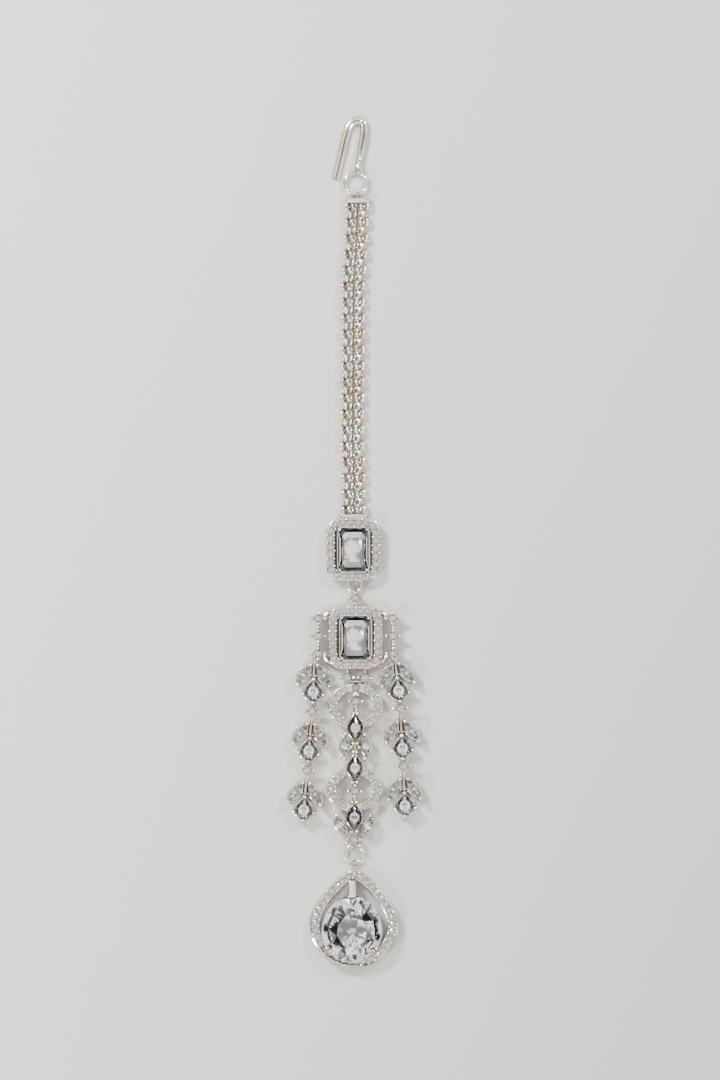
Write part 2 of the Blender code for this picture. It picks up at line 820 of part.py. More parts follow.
def centre_layout():
    """Heights of the centre panel's pieces below its top, in order."""
    layout = {}
    half_leaf = MARQUISE_LENGTH / 2.0
    layout["pair"] = -POST_LENGTH - SMALL_RADIUS
    layout["crest"] = layout["pair"] - SMALL_RADIUS - CREST_DROP
    layout["hoop_1"] = layout["crest"] + HOOP_BAND / 2.0 - HOOP_RADIUS_Y
    layout["inner_1"] = layout["hoop_1"] + HOOP_RADIUS_Y * 0.22
    layout["marquise_1"] = layout["hoop_1"] - HOOP_RADIUS_Y + 0.3 * MM
    layout["cluster"] = layout["marquise_1"] - half_leaf - 1.35 * MM
    layout["leaves_1"] = layout["cluster"] + 0.2 * MM
    layout["marquise_2"] = layout["cluster"] - half_leaf - 1.55 * MM
    layout["hoop_2"] = layout["marquise_2"] - half_leaf - 1.75 * MM
    layout["inner_2"] = layout["hoop_2"] - 0.3 * MM
    layout["marquise_3"] = layout["hoop_2"] - HOOP_RADIUS_Y - HOOP_BAND / 2.0 - 0.05 * MM
    layout["leaves_2"] = layout["marquise_3"] - 1.6 * MM
    layout["tail"] = layout["marquise_3"] - half_leaf - 1.9 * MM
    return layout


def side_leaves(layout):
    """Names, places and turns of the four leaf stones beside the marquises."""
    leaves = []
    for side, label in ((-1.0, "left"), (1.0, "right")):
        leaves.append(("upper_" + label, side * 2.05 * MM, layout["leaves_1"], side * 0.07))
        leaves.append(("lower_" + label, side * 2.65 * MM, layout["leaves_2"], -side * 0.52))
    return leaves


def build_centre(top, root):
    """The centre panel, its three marquises and its four leaf stones."""
    layout = centre_layout()
    unit = add_empty("centre_place", (CENTRE_SHIFT, top, 0.0), CENTRE_TILT, root)
    girdle = PLATE_TOP + GAP
    base_top = PLATE_BOTTOM + 0.3 * MM
    pieces = hoop(layout["hoop_1"], False, True)
    pieces += hoop(layout["hoop_2"], True, True)
    spine_low = layout["tail"] + 0.3 * MM
    pieces.append(
        box(-0.5 * MM, 0.5 * MM, spine_low, layout["inner_1"] + 0.5 * MM, 0.3 * MM, base_top)
    )
    for side in (-1.0, 1.0):
        x = side * POST_SPREAD
        pieces += small_stone(x, layout["pair"], ("left",) if side < 0.0 else ("right",))
        pieces.append(
            box(x - 0.45 * MM, x + 0.45 * MM, layout["crest"], 0.0,
                0.0, PLATE_TOP - 0.2 * MM)
        )
    pieces += small_stone(0.0, layout["crest"], ())
    pieces += small_stone(0.0, layout["inner_1"], ("left", "right", "top"))
    pieces.append(
        box(-0.3 * MM, 0.3 * MM, layout["inner_1"], layout["crest"],
            0.6 * MM, PLATE_TOP - 0.2 * MM)
    )
    pieces += small_stone(0.0, layout["inner_2"])
    marquise = marquise_outline(MARQUISE_WIDTH, MARQUISE_LENGTH)
    seat = grown(marquise, SETTING_RIM)
    for number in (1, 2, 3):
        y = layout["marquise_" + str(number)]
        pieces.append(plate(moved(seat, 0.0, y), 0.3 * MM, PLATE_TOP))
        stone = gem(moved(marquise, 0.0, y), girdle, GEM_HEIGHT * 0.75, 0.62, 0.0)
        finish_part(stone, "centre_marquise_" + str(number), unit, True)
        for end in (-1.0, 1.0):
            reach = MARQUISE_LENGTH / 2.0 + SETTING_RIM + 0.2 * MM
            for shift in (-0.35 * MM, 0.35 * MM):
                pieces.append(prong(shift, y + end * reach))
    pieces.append(
        cone(0.0, layout["cluster"], 0.0, PLATE_TOP, 0.9 * MM, 0.9 * MM, 10)
    )
    leaf = marquise_outline(SIDE_LEAF_WIDTH, SIDE_LEAF_LENGTH)
    leaf_seat = grown(leaf, SETTING_RIM)
    for label, x, y, angle in side_leaves(layout):
        pieces.append(plate(moved(leaf_seat, x, y, angle), 0.3 * MM, PLATE_TOP))
        inner = math.copysign(0.3 * MM, x)
        pieces.append(
            box(min(x, inner), max(x, inner), y - 0.3 * MM, y + 0.3 * MM, 0.3 * MM, base_top)
        )
        stone = gem(moved(leaf, x, y, angle), girdle, GEM_HEIGHT * 0.6, 0.6, 0.0)
        finish_part(stone, "centre_leaf_" + label, unit, True)
        reach = SIDE_LEAF_LENGTH / 2.0 + 0.3 * MM
        for end in (-1.0, 1.0):
            pieces.append(
                prong(x - end * reach * math.sin(angle), y + end * reach * math.cos(angle))
            )
    pieces += small_stone(0.0, layout["tail"])
    eye_y = layout["tail"] - 1.1 * MM
    pieces.append(eyelet(0.0, eye_y))
    finish_part(fuse(pieces), "centre_frame", unit)
    turned = Vector((0.0, eye_y))
    turned.rotate(Matrix.Rotation(CENTRE_TILT, 2))
    return Vector((CENTRE_SHIFT, top)) + turned


def build_drop(x, tip_y, root):
    """The pear drop: pave frame, bail eye, three prongs and the large stone."""
    unit = add_empty("drop_place", (x, tip_y, 0.0), 0.0, root)
    inset = DROP_BAND / 2.0
    middle = pear_outline(
        DROP_WIDTH - DROP_BAND, DROP_LENGTH - DROP_BAND * 0.9, 32, 1.55, 0.8
    )
    middle = moved(middle, 0.0, -DROP_BAND * 0.4)
    outer = grown(middle, inset)
    inner = grown(middle, -inset)
    pieces = [plate(outer, 0.0, PLATE_TOP, inner)]
    for place in spaced(middle, 1.42 * MM):
        pieces.append(pave(place.x, place.y))
    pieces.append(eyelet(0.0, 1.15 * MM))
    pieces.append(
        box(-0.5 * MM, 0.5 * MM, -0.9 * MM, 0.45 * MM, 0.0, PLATE_TOP)
    )
    stone_top = -4.55 * MM
    stone_outline = moved(
        pear_outline(DROP_STONE_WIDTH, DROP_STONE_LENGTH, 20, 2.0, 0.65),
        DROP_STONE_SHIFT,
        stone_top,
    )
    rail = grown(stone_outline, -0.9 * MM)
    rail_inner = grown(stone_outline, -1.9 * MM)
    pieces.append(plate(rail, 0.4 * MM, PLATE_BOTTOM, rail_inner))
    pieces.append(
        box(-0.9 * MM, 0.9 * MM, stone_top - 2.4 * MM, -2.2 * MM, 0.4 * MM, PLATE_BOTTOM)
    )
    for side in (-1.0, 1.0):
        arm = [
            (side * DROP_STONE_WIDTH * 0.33, stone_top - DROP_STONE_LENGTH * 0.80, 0.9 * MM),
            (side * DROP_WIDTH * 0.37, -DROP_LENGTH * 0.865, 0.9 * MM),
        ]
        pieces.append(tube(arm, 0.5 * MM))
    pieces.append(
        box(-0.8 * MM, 0.8 * MM, stone_top + GAP + 0.1 * MM, -2.0 * MM, PLATE_BOTTOM - 0.2 * MM,
            PLATE_TOP + PAVE_HEIGHT + 1.2 * MM)
    )
    pieces.append(
        box(-0.8 * MM, 0.8 * MM, stone_top - 0.4 * MM, -2.6 * MM, 0.4 * MM, PLATE_BOTTOM)
    )
    finish_part(fuse(pieces), "drop_frame", unit)
    girdle = PLATE_TOP + PAVE_HEIGHT + GAP
    stone = gem(stone_outline, girdle, DROP_STONE_HEIGHT, 0.55, 0.65)
    finish_part(stone, "drop_stone", unit, True)


def centre_on_box(root):
    """Move the whole ornament so that its box stands over the origin."""
    bpy.context.view_layer.update()
    low = Vector((1.0, 1.0))
    high = Vector((-1.0, -1.0))
    for obj in PARTS.objects:
        if obj.type != "MESH":
            continue
        for vertex in obj.data.vertices:
            place = obj.matrix_world @ vertex.co
            low = Vector((min(low.x, place.x), min(low.y, place.y)))
            high = Vector((max(high.x, place.x), max(high.y, place.y)))
    middle = (low + high) / 2.0
    root.location = (-middle.x, -middle.y, 0.0)


def build():
    """Stack the ornament up and down from the main plaque's middle."""
    root = add_empty("maang_tikka_place", (0.0, 0.0, 0.0), 0.0, None)
    half = PLAQUE_LENGTH / 2.0
    connector_y = half + 1.65 * MM
    ring_radius = PLAQUE_RING_WIDTH / 2.0 - RING_WIRE / 2.0
    eye_y = connector_y + 1.2 * MM
    ring_y = eye_y + ring_radius
    upper_eye = ring_y + ring_radius
    upper_y = upper_eye - 0.55 * MM + half

    finish_part(build_main_plaque(connector_y, eye_y), "main_plaque", root)
    finish_part(plaque_gem(0.0, 0.0), "main_stone", root, True)
    finish_part(
        ring(UPPER_PLAQUE_SHIFT * 0.5, ring_y, ring_radius, RING_WIRE), "plaque_ring", root
    )

    upper = halo_plaque(UPPER_PLAQUE_SHIFT, upper_y)
    upper.append(eyelet(UPPER_PLAQUE_SHIFT * 0.5, upper_eye))
    bar_low = upper_y + half - 0.3 * MM
    bar_high = upper_y + half + CHAIN_BAR_LENGTH * 0.85
    bar_x = UPPER_PLAQUE_SHIFT
    upper.append(
        box(bar_x - CHAIN_BAR_WIDTH / 2.0, bar_x + CHAIN_BAR_WIDTH / 2.0, bar_low, bar_high,
            0.1 * MM, PLATE_TOP - 0.3 * MM)
    )
    upper.append(
        box(bar_x - CHAIN_BAR_WIDTH / 3.0, bar_x + CHAIN_BAR_WIDTH / 3.0,
            upper_y + half - PLAQUE_BASE_INSET - 0.4 * MM, bar_low + 0.2 * MM,
            0.1 * MM, PLATE_BOTTOM + 0.1 * MM)
    )
    finish_part(fuse(upper), "upper_plaque", root)
    finish_part(plaque_gem(UPPER_PLAQUE_SHIFT, upper_y), "upper_stone", root, True)

    chain_low = bar_high + GAP
    chain_high = chain_low + CHAIN_LENGTH
    chain = build_chain(chain_high, chain_low, UPPER_PLAQUE_SHIFT)
    finish_part(chain, "chain", root)
    top_x = UPPER_PLAQUE_SHIFT + CHAIN_ROUTE[0][1]
    end_low = chain_high + GAP
    end_high = end_low + CHAIN_BAR_LENGTH
    hook_eye = end_high + RING_WIRE / 2.0 + GAP
    end_pieces = [
        box(top_x - CHAIN_BAR_WIDTH / 2.0, top_x + CHAIN_BAR_WIDTH / 2.0, end_low, end_high,
            0.1 * MM, LINK_HEIGHT * 2.0),
        eyelet(top_x, hook_eye),
    ]
    finish_part(fuse(end_pieces), "chain_end_bar", root)
    hook_radius = HOOK_RING_WIDTH / 2.0 - RING_WIRE / 2.0
    hook = build_hook(hook_eye + hook_radius)
    hook.data.transform(Matrix.Translation((top_x - 0.3 * MM, 0.0, 0.0)))
    finish_part(hook, "hook", root)

    for strand in STRANDS:
        build_strand(strand, root)

    panel_top = -half - 0.2 * MM - GAP
    eye = build_centre(panel_top, root)
    drop_radius = DROP_RING_WIDTH / 2.0 - RING_WIRE / 2.0
    finish_part(ring(eye.x, eye.y - drop_radius, drop_radius, RING_WIRE), "drop_ring", root)
    build_drop(eye.x, eye.y - drop_radius * 2.0 - 1.15 * MM, root)
    centre_on_box(root)


clear_scene()
PARTS = bpy.data.collections.new("maang_tikka")
bpy.context.scene.collection.children.link(PARTS)
build()
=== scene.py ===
import math

import bpy
from mathutils import Matrix, Vector


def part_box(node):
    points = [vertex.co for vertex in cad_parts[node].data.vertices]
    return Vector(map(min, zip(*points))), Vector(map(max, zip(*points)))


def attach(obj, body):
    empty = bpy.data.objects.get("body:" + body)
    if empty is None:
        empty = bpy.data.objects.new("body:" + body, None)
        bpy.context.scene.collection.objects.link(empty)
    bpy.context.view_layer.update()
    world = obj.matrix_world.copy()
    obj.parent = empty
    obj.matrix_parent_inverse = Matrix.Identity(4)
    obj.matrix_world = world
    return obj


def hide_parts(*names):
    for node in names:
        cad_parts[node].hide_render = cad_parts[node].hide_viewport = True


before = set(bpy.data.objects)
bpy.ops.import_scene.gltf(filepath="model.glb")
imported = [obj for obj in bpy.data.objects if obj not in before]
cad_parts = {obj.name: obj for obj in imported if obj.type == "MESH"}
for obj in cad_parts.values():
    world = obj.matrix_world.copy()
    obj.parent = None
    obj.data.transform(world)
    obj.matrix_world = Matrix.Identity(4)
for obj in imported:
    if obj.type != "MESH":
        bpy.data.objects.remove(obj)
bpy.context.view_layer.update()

bl_info = {
    "name": "Maang tikka",
    "version": (1, 0, 0),
    "blender": (4, 5, 0),
    "location": "3D View > Sidebar > Maang tikka",
    "description": "Dresses the forehead ornament with its links, stones, prongs and finishes",
    "category": "Object",
}

MM = 0.001
PLATE_TOP = 2.2 * MM
PAVE_HEIGHT = PLATE_TOP + 0.16 * MM
SEAT_RIM = 0.24 * MM
SEAT_EDGE = 0.1 * MM
SEAT_FOOT = 0.7 * MM
SEAT_TOP = 2.46 * MM
GIRDLE = 2.5 * MM
BEAD_WIDTH = 0.9 * MM
EYE_HEIGHT = 0.86 * MM

# Rectangles of a plaque: width, length, corner, points per corner
PLAQUE_HALO = (10.2 * MM, 11.9 * MM, 2.6 * MM, 6)
PLAQUE_OPENING = (6.9 * MM, 8.6 * MM, 1.2 * MM, 6)
PLAQUE_TRACK = (8.55 * MM, 10.25 * MM, 1.95 * MM, 6)
PLAQUE_SEAT = (5.9 * MM, 8.4 * MM, 0.9 * MM, 3)
PLAQUE_GALLERY = (8.6 * MM, 10.3 * MM, 2.0 * MM, 5)

# Camera: height over the floor, height of the middle of the metal, height of the frame
CAMERA_HEIGHT = 0.9
MIDDLE_HEIGHT = 0.0025
FRAME_HEIGHT = 0.2052
SENSOR_HEIGHT = 36.0
FLOWERS = ["flower_" + side + "_" + str(number) for side in ("left", "right") for number in (1, 2, 3)]


# Sizes and colours

class TikkaMetal(bpy.types.PropertyGroup):
    """Colour and polish of the plated metal."""
    colour: bpy.props.FloatVectorProperty(
        name="Plating", description="Colour of the bright plating", subtype="COLOR",
        size=3, min=0.0, max=1.0, default=(0.84, 0.825, 0.80))
    warm: bpy.props.FloatVectorProperty(
        name="Warm areas", description="Colour where the plating shows a champagne tone",
        subtype="COLOR", size=3, min=0.0, max=1.0, default=(0.76, 0.62, 0.46))
    roughness: bpy.props.FloatProperty(
        name="Roughness", description="Roughness of the polished plating",
        default=0.07, min=0.0, max=1.0, subtype="FACTOR")


class TikkaStone(bpy.types.PropertyGroup):
    """Colour and cut of the clear stones."""
    colour: bpy.props.FloatVectorProperty(
        name="Stone", description="Tint of the clear stones", subtype="COLOR",
        size=3, min=0.0, max=1.0, default=(0.985, 0.98, 0.995))
    ior: bpy.props.FloatProperty(
        name="Refraction", description="Index of refraction of the stones",
        default=2.15, min=1.0, max=3.0)
    pave_width: bpy.props.FloatProperty(
        name="Pave stone", description="Width of one pave stone",
        default=1.34 * MM, min=0.5 * MM, max=2.0 * MM, subtype="DISTANCE", unit="LENGTH")
    small_width: bpy.props.FloatProperty(
        name="Small stone", description="Width of a four-prong stone",
        default=1.75 * MM, min=0.8 * MM, max=3.0 * MM, subtype="DISTANCE", unit="LENGTH")
    bead: bpy.props.FloatProperty(
        name="Pave bead", description="Width of the small beads that hold the pave",
        default=0.58 * MM, min=0.1 * MM, max=1.0 * MM, subtype="DISTANCE", unit="LENGTH")
    prong: bpy.props.FloatProperty(
        name="Prong bead", description="Width of a bead prong beside a stone",
        default=0.80 * MM, min=0.2 * MM, max=1.5 * MM, subtype="DISTANCE", unit="LENGTH")


class TikkaChain(bpy.types.PropertyGroup):
    """Links of the woven chain."""
    pitch: bpy.props.FloatProperty(
        name="Link pitch", description="Length of one repeat of the weave",
        default=3.12 * MM, min=2.0 * MM, max=6.0 * MM, subtype="DISTANCE", unit="LENGTH")
    wire: bpy.props.FloatProperty(
        name="Link wire", description="Thickness of a link's wire",
        default=0.60 * MM, min=0.2 * MM, max=1.0 * MM, subtype="DISTANCE", unit="LENGTH")


class TikkaStage(bpy.types.PropertyGroup):
    """Floor and light."""
    floor: bpy.props.FloatVectorProperty(
        name="Floor", description="Colour of the plain floor", subtype="COLOR",
        size=3, min=0.0, max=1.0, default=(0.525, 0.508, 0.48))
    key_power: bpy.props.FloatProperty(
        name="Key light", description="Power of the large soft light", default=1.0, min=0.0, max=20.0)


def metal():
    """The plating settings of the scene."""
    return bpy.context.scene.tikka_metal


def stone_settings():
    """The stone settings of the scene."""
    return bpy.context.scene.tikka_stone


# Materials

def plating_group():
    """Shared effect: uneven plating, with warm areas, fine polish marks and painted shade darkening the
    hollows.
    """
    name = "Plating unevenness"
    if name in bpy.data.node_groups:
        return bpy.data.node_groups[name]
    group = bpy.data.node_groups.new(name, "ShaderNodeTree")
    face = group.interface
    for label, kind in (("Plating", "NodeSocketColor"), ("Warm", "NodeSocketColor"),
                        ("Warmth", "NodeSocketFloat"), ("Roughness", "NodeSocketFloat")):
        face.new_socket(name=label, in_out="INPUT", socket_type=kind)
    for label, kind in (("Color", "NodeSocketColor"), ("Roughness", "NodeSocketFloat"),
                        ("Height", "NodeSocketFloat")):
        face.new_socket(name=label, in_out="OUTPUT", socket_type=kind)
    nodes, links = group.nodes, group.links
    source = nodes.new("NodeGroupInput")
    target = nodes.new("NodeGroupOutput")
    place = nodes.new("ShaderNodeTexCoord")
    cloud = nodes.new("ShaderNodeTexNoise")
    cloud.inputs["Scale"].default_value = 420.0
    cloud.inputs["Detail"].default_value = 3.0
    links.new(place.outputs["Object"], cloud.inputs["Vector"])
    ramp = nodes.new("ShaderNodeMapRange")
    ramp.inputs["From Min"].default_value = 0.38
    ramp.inputs["From Max"].default_value = 0.62
    links.new(cloud.outputs["Fac"], ramp.inputs["Value"])
    warmth = nodes.new("ShaderNodeMath")
    warmth.operation = "MULTIPLY"
    links.new(ramp.outputs["Result"], warmth.inputs[0])
    links.new(source.outputs["Warmth"], warmth.inputs[1])
    mix = nodes.new("ShaderNodeMix")
    mix.data_type = "RGBA"
    links.new(warmth.outputs[0], mix.inputs["Factor"])
    links.new(source.outputs["Plating"], mix.inputs["A"])
    links.new(source.outputs["Warm"], mix.inputs["B"])
    # Painted shade: ambient occlusion darkens the plating colour in hollows and between parts.
    hollow_shade_ao = nodes.new("ShaderNodeAmbientOcclusion")
    hollow_shade_ao.inputs["Distance"].default_value = 0.7 * MM
    hollow_shade_ao.samples = 4
    painted_shade_level = nodes.new("ShaderNodeMapRange")
    painted_shade_level.inputs["From Min"].default_value = 0.25
    painted_shade_level.inputs["From Max"].default_value = 0.8
    painted_shade_level.inputs["To Min"].default_value = 0.2
    links.new(hollow_shade_ao.outputs["AO"], painted_shade_level.inputs["Value"])
    painted_shade_multiply = nodes.new("ShaderNodeMix")
    painted_shade_multiply.data_type = "RGBA"
    painted_shade_multiply.blend_type = "MULTIPLY"
    painted_shade_multiply.inputs["Factor"].default_value = 1.0
    links.new(mix.outputs["Result"], painted_shade_multiply.inputs["A"])
    links.new(painted_shade_level.outputs["Result"], painted_shade_multiply.inputs["B"])
    links.new(painted_shade_multiply.outputs["Result"], target.inputs["Color"])
    fine = nodes.new("ShaderNodeTexNoise")
    fine.inputs["Scale"].default_value = 2600.0
    fine.inputs["Detail"].default_value = 2.0
    links.new(place.outputs["Object"], fine.inputs["Vector"])
    spread = nodes.new("ShaderNodeMapRange")
    spread.inputs["To Min"].default_value = 0.6
    spread.inputs["To Max"].default_value = 1.5
    links.new(fine.outputs["Fac"], spread.inputs["Value"])
    rough = nodes.new("ShaderNodeMath")
    rough.operation = "MULTIPLY"
    links.new(source.outputs["Roughness"], rough.inputs[0])
    links.new(spread.outputs["Result"], rough.inputs[1])
    links.new(rough.outputs[0], target.inputs["Roughness"])
    links.new(fine.outputs["Fac"], target.inputs["Height"])
    return group


def metal_material(name, warmth=0.5, roughness=None):
    """Bright plating for one kind of piece."""
    if name in bpy.data.materials:
        return bpy.data.materials[name]
    settings = metal()
    material = bpy.data.materials.new(name)
    material.use_nodes = True
    nodes, links = material.node_tree.nodes, material.node_tree.links
    shader = nodes["Principled BSDF"]
    shader.inputs["Metallic"].default_value = 1.0
    effect = nodes.new("ShaderNodeGroup")
    effect.node_tree = plating_group()
    effect.inputs["Plating"].default_value = (*settings.colour, 1.0)
    effect.inputs["Warm"].default_value = (*settings.warm, 1.0)
    effect.inputs["Warmth"].default_value = warmth
    effect.inputs["Roughness"].default_value = settings.roughness if roughness is None else roughness
    # The base colour carries the painted shade in the hollows from the plating group.
    links.new(effect.outputs["Color"], shader.inputs["Base Color"])
    links.new(effect.outputs["Roughness"], shader.inputs["Roughness"])
    bump = nodes.new("ShaderNodeBump")
    bump.inputs["Strength"].default_value = 0.12
    bump.inputs["Distance"].default_value = 0.02 * MM
    links.new(effect.outputs["Height"], bump.inputs["Height"])
    links.new(bump.outputs["Normal"], shader.inputs["Normal"])
    return material


def tint_group():
    """Shared effect: a faint drift of tint through a clear stone."""
    name = "Stone tint drift"
    if name in bpy.data.node_groups:
        return bpy.data.node_groups[name]
    group = bpy.data.node_groups.new(name, "ShaderNodeTree")
    face = group.interface
    face.new_socket(name="Clear", in_out="INPUT", socket_type="NodeSocketColor")
    face.new_socket(name="Tint", in_out="INPUT", socket_type="NodeSocketColor")
    face.new_socket(name="Scale", in_out="INPUT", socket_type="NodeSocketFloat")
    face.new_socket(name="Color", in_out="OUTPUT", socket_type="NodeSocketColor")
    nodes, links = group.nodes, group.links
    source = nodes.new("NodeGroupInput")
    target = nodes.new("NodeGroupOutput")
    place = nodes.new("ShaderNodeTexCoord")
    cloud = nodes.new("ShaderNodeTexNoise")
    cloud.inputs["Detail"].default_value = 1.0
    links.new(place.outputs["Object"], cloud.inputs["Vector"])
    links.new(source.outputs["Scale"], cloud.inputs["Scale"])
    ramp = nodes.new("ShaderNodeMapRange")
    ramp.inputs["From Min"].default_value = 0.42
    ramp.inputs["From Max"].default_value = 0.62
    links.new(cloud.outputs["Fac"], ramp.inputs["Value"])
    mix = nodes.new("ShaderNodeMix")
    mix.data_type = "RGBA"
    links.new(ramp.outputs["Result"], mix.inputs["Factor"])
    links.new(source.outputs["Clear"], mix.inputs["A"])
    links.new(source.outputs["Tint"], mix.inputs["B"])
    links.new(mix.outputs["Result"], target.inputs["Color"])
    return group


def stone_material(name, tint=(0.93, 0.92, 0.98), scale=500.0):
    """Clear stone with a faint lilac drift."""
    if name in bpy.data.materials:
        return bpy.data.materials[name]
    settings = stone_settings()
    material = bpy.data.materials.new(name)
    material.use_nodes = True
    nodes, links = material.node_tree.nodes, material.node_tree.links
    shader = nodes["Principled BSDF"]
    shader.inputs["Roughness"].default_value = 0.0
    shader.inputs["IOR"].default_value = settings.ior
    shader.inputs["Transmission Weight"].default_value = 1.0
    effect = nodes.new("ShaderNodeGroup")
    effect.node_tree = tint_group()
    effect.inputs["Clear"].default_value = (*settings.colour, 1.0)
    effect.inputs["Tint"].default_value = (*tint, 1.0)
    effect.inputs["Scale"].default_value = scale
    links.new(effect.outputs["Color"], shader.inputs["Base Color"])
    return material


# Outlines

def rectangle_outline(width, length, corner, steps=3):
    """A rectangle with rounded or cut corners, anticlockwise."""
    points = []
    for index in range(4):
        centre_x = (width / 2.0 - corner) * (1.0 if index in (0, 3) else -1.0)
        centre_y = (length / 2.0 - corner) * (1.0 if index in (0, 1) else -1.0)
        for step in range(steps):
            angle = math.pi / 2.0 * (index + step / (steps - 1))
            points.append((centre_x + corner * math.cos(angle), centre_y + corner * math.sin(angle)))
    return points


def ellipse_outline(radius_x, radius_y, count):
    """Points round an ellipse, anticlockwise."""
    turn = 2.0 * math.pi / count
    return [(radius_x * math.cos(turn * k), radius_y * math.sin(turn * k)) for k in range(count)]


def pear_outline(width, length, count=24, taper=1.9, shoulder=1.0):
    """A pear with its tip at the origin, hanging down the Y axis."""
    widest = length * 0.56
    right = []
    half = count // 2
    for index in range(half + 1):
        share = index / half
        if share <= 0.5:
            down = widest * share * 2.0
            across = width / 2.0 * (1.0 - (1.0 - share * 2.0) ** taper) ** shoulder
        else:
            angle = math.pi / 2.0 * (share - 0.5) * 2.0
            down = widest + (length - widest) * math.sin(angle)
            across = width / 2.0 * math.cos(angle)
        right.append((across, -down))
    left = [(-x, y) for x, y in right[1:-1]]
    return left + list(reversed(right))


def marquise_outline(width, length, count=16):
    """A pointed leaf about the origin, upright."""
    right = []
    half = count // 2
    for index in range(half + 1):
        share = 2.0 * index / half - 1.0
        right.append((width / 2.0 * (1.0 - share * share), length / 2.0 * share))
    return right + [(-x, y) for x, y in reversed(right[1:-1])]


def grown(outline, distance, fan=3):
    """An outline moved outwards, rounded at its sharp corners."""
    count = len(outline)
    result = []
    for index in range(count):
        before, here = Vector(outline[index - 1]), Vector(outline[index])
        after = Vector(outline[(index + 1) % count])
        first, second = (here - before).normalized(), (after - here).normalized()
        normal_a, normal_b = Vector((first.y, -first.x)), Vector((second.y, -second.x))
        turn = normal_a.angle_signed(normal_b)
        if abs(turn) > math.radians(50.0) and distance > 0.0:
            for step in range(fan):
                normal = normal_a.lerp(normal_b, step / (fan - 1)).normalized()
                result.append(tuple(here + normal * distance))
        else:
            normal = (normal_a + normal_b).normalized()
            result.append(tuple(here + normal * distance / math.cos(turn / 2.0)))
    return result


def moved(outline, x, y, angle=0.0):
    """An outline turned about the origin and then moved."""
    cosine, sine = math.cos(angle), math.sin(angle)
    return [(x + a * cosine - b * sine, y + a * sine + b * cosine) for a, b in outline]


def spaced(outline, spacing):
    """Places and directions at even spacing along a closed outline."""
    count = len(outline)
    lengths = []
    for index in range(count):
        lengths.append((Vector(outline[(index + 1) % count]) - Vector(outline[index])).length)
    total = sum(lengths)
    number = max(6, round(total / spacing))
    result = []
    for item in range(number):
        target = total * item / number
        index = 0
        while target > lengths[index]:
            target -= lengths[index]
            index += 1
        start, end = Vector(outline[index]), Vector(outline[(index + 1) % count])
        result.append((start.lerp(end, target / lengths[index]), (end - start).normalized()))
    return result


# Modelling helpers

def fresh():
    """Deselect everything before a new primitive is added."""
    if bpy.context.object and bpy.context.object.mode != "OBJECT":
        bpy.ops.object.mode_set(mode="OBJECT")
    bpy.ops.object.select_all(action="DESELECT")


def active(name):
    """Name the object just made and return it."""
    obj = bpy.context.object
    obj.name = name
    obj.data.name = name
    return obj


def settle(obj):
    """Move an object's place into its mesh."""
    bpy.context.view_layer.update()
    obj.data.transform(obj.matrix_world)
    obj.matrix_world = Matrix.Identity(4)
    return obj


def select_only(obj):
    """Make one object the only selected and the active one."""
    fresh()
    obj.select_set(True)
    bpy.context.view_layer.objects.active = obj


def apply_modifier(obj, kind, **settings):
    """Add a modifier with its settings and apply it."""
    select_only(obj)
    modifier = obj.modifiers.new(kind.title(), kind)
    for key, value in settings.items():
        setattr(modifier, key, value)
    bpy.ops.object.modifier_apply(modifier=modifier.name)
    return obj


def foil_material():
    """Mirror backing on a stone's underside."""
    name = "stone_foil"
    if name in bpy.data.materials:
        return bpy.data.materials[name]
    material = bpy.data.materials.new(name)
    material.use_nodes = True
    nodes, links = material.node_tree.nodes, material.node_tree.links
    shader = nodes["Principled BSDF"]
    shader.inputs["Metallic"].default_value = 1.0
    shader.inputs["Roughness"].default_value = 0.03
    effect = nodes.new("ShaderNodeGroup")
    effect.node_tree = tint_group()
    effect.inputs["Clear"].default_value = (0.97, 0.965, 0.96, 1.0)
    effect.inputs["Tint"].default_value = (0.9, 0.875, 0.91, 1.0)
    effect.inputs["Scale"].default_value = 380.0
    links.new(effect.outputs["Color"], shader.inputs["Base Color"])
    return material


def finish_stone(obj, name, material, replaces=()):
    """Finish a clear stone and give its underside the mirror backing."""
    finish(obj, name, material, replaces)
    obj.data.materials.append(foil_material())
    for polygon in obj.data.polygons:
        polygon.material_index = 1 if polygon.normal.z < -0.12 else 0
    return obj


def outline_solid(name, outline, bottom, top, edge=0.0, segments=2):
    """A flat solid from an outline, with rounded edges if asked."""
    fresh()
    bpy.ops.mesh.primitive_circle_add(vertices=len(outline), radius=MM, fill_type="NOTHING")
    obj = active(name)
    for vertex, (x, y) in zip(obj.data.vertices, outline):
        vertex.co = (x, y, bottom)
    bpy.ops.object.mode_set(mode="EDIT")
    bpy.ops.mesh.select_all(action="SELECT")
    bpy.ops.mesh.edge_face_add()
    bpy.ops.mesh.select_all(action="SELECT")
    bpy.ops.mesh.extrude_region_move(TRANSFORM_OT_translate={"value": (0.0, 0.0, top - bottom)})
    bpy.ops.mesh.select_all(action="SELECT")
    bpy.ops.mesh.normals_make_consistent(inside=False)
    bpy.ops.object.mode_set(mode="OBJECT")
    settle(obj)
    if edge > 0.0:
        apply_modifier(obj, "BEVEL", width=edge, segments=segments, limit_method="ANGLE",
                       angle_limit=math.radians(50.0))
    return obj


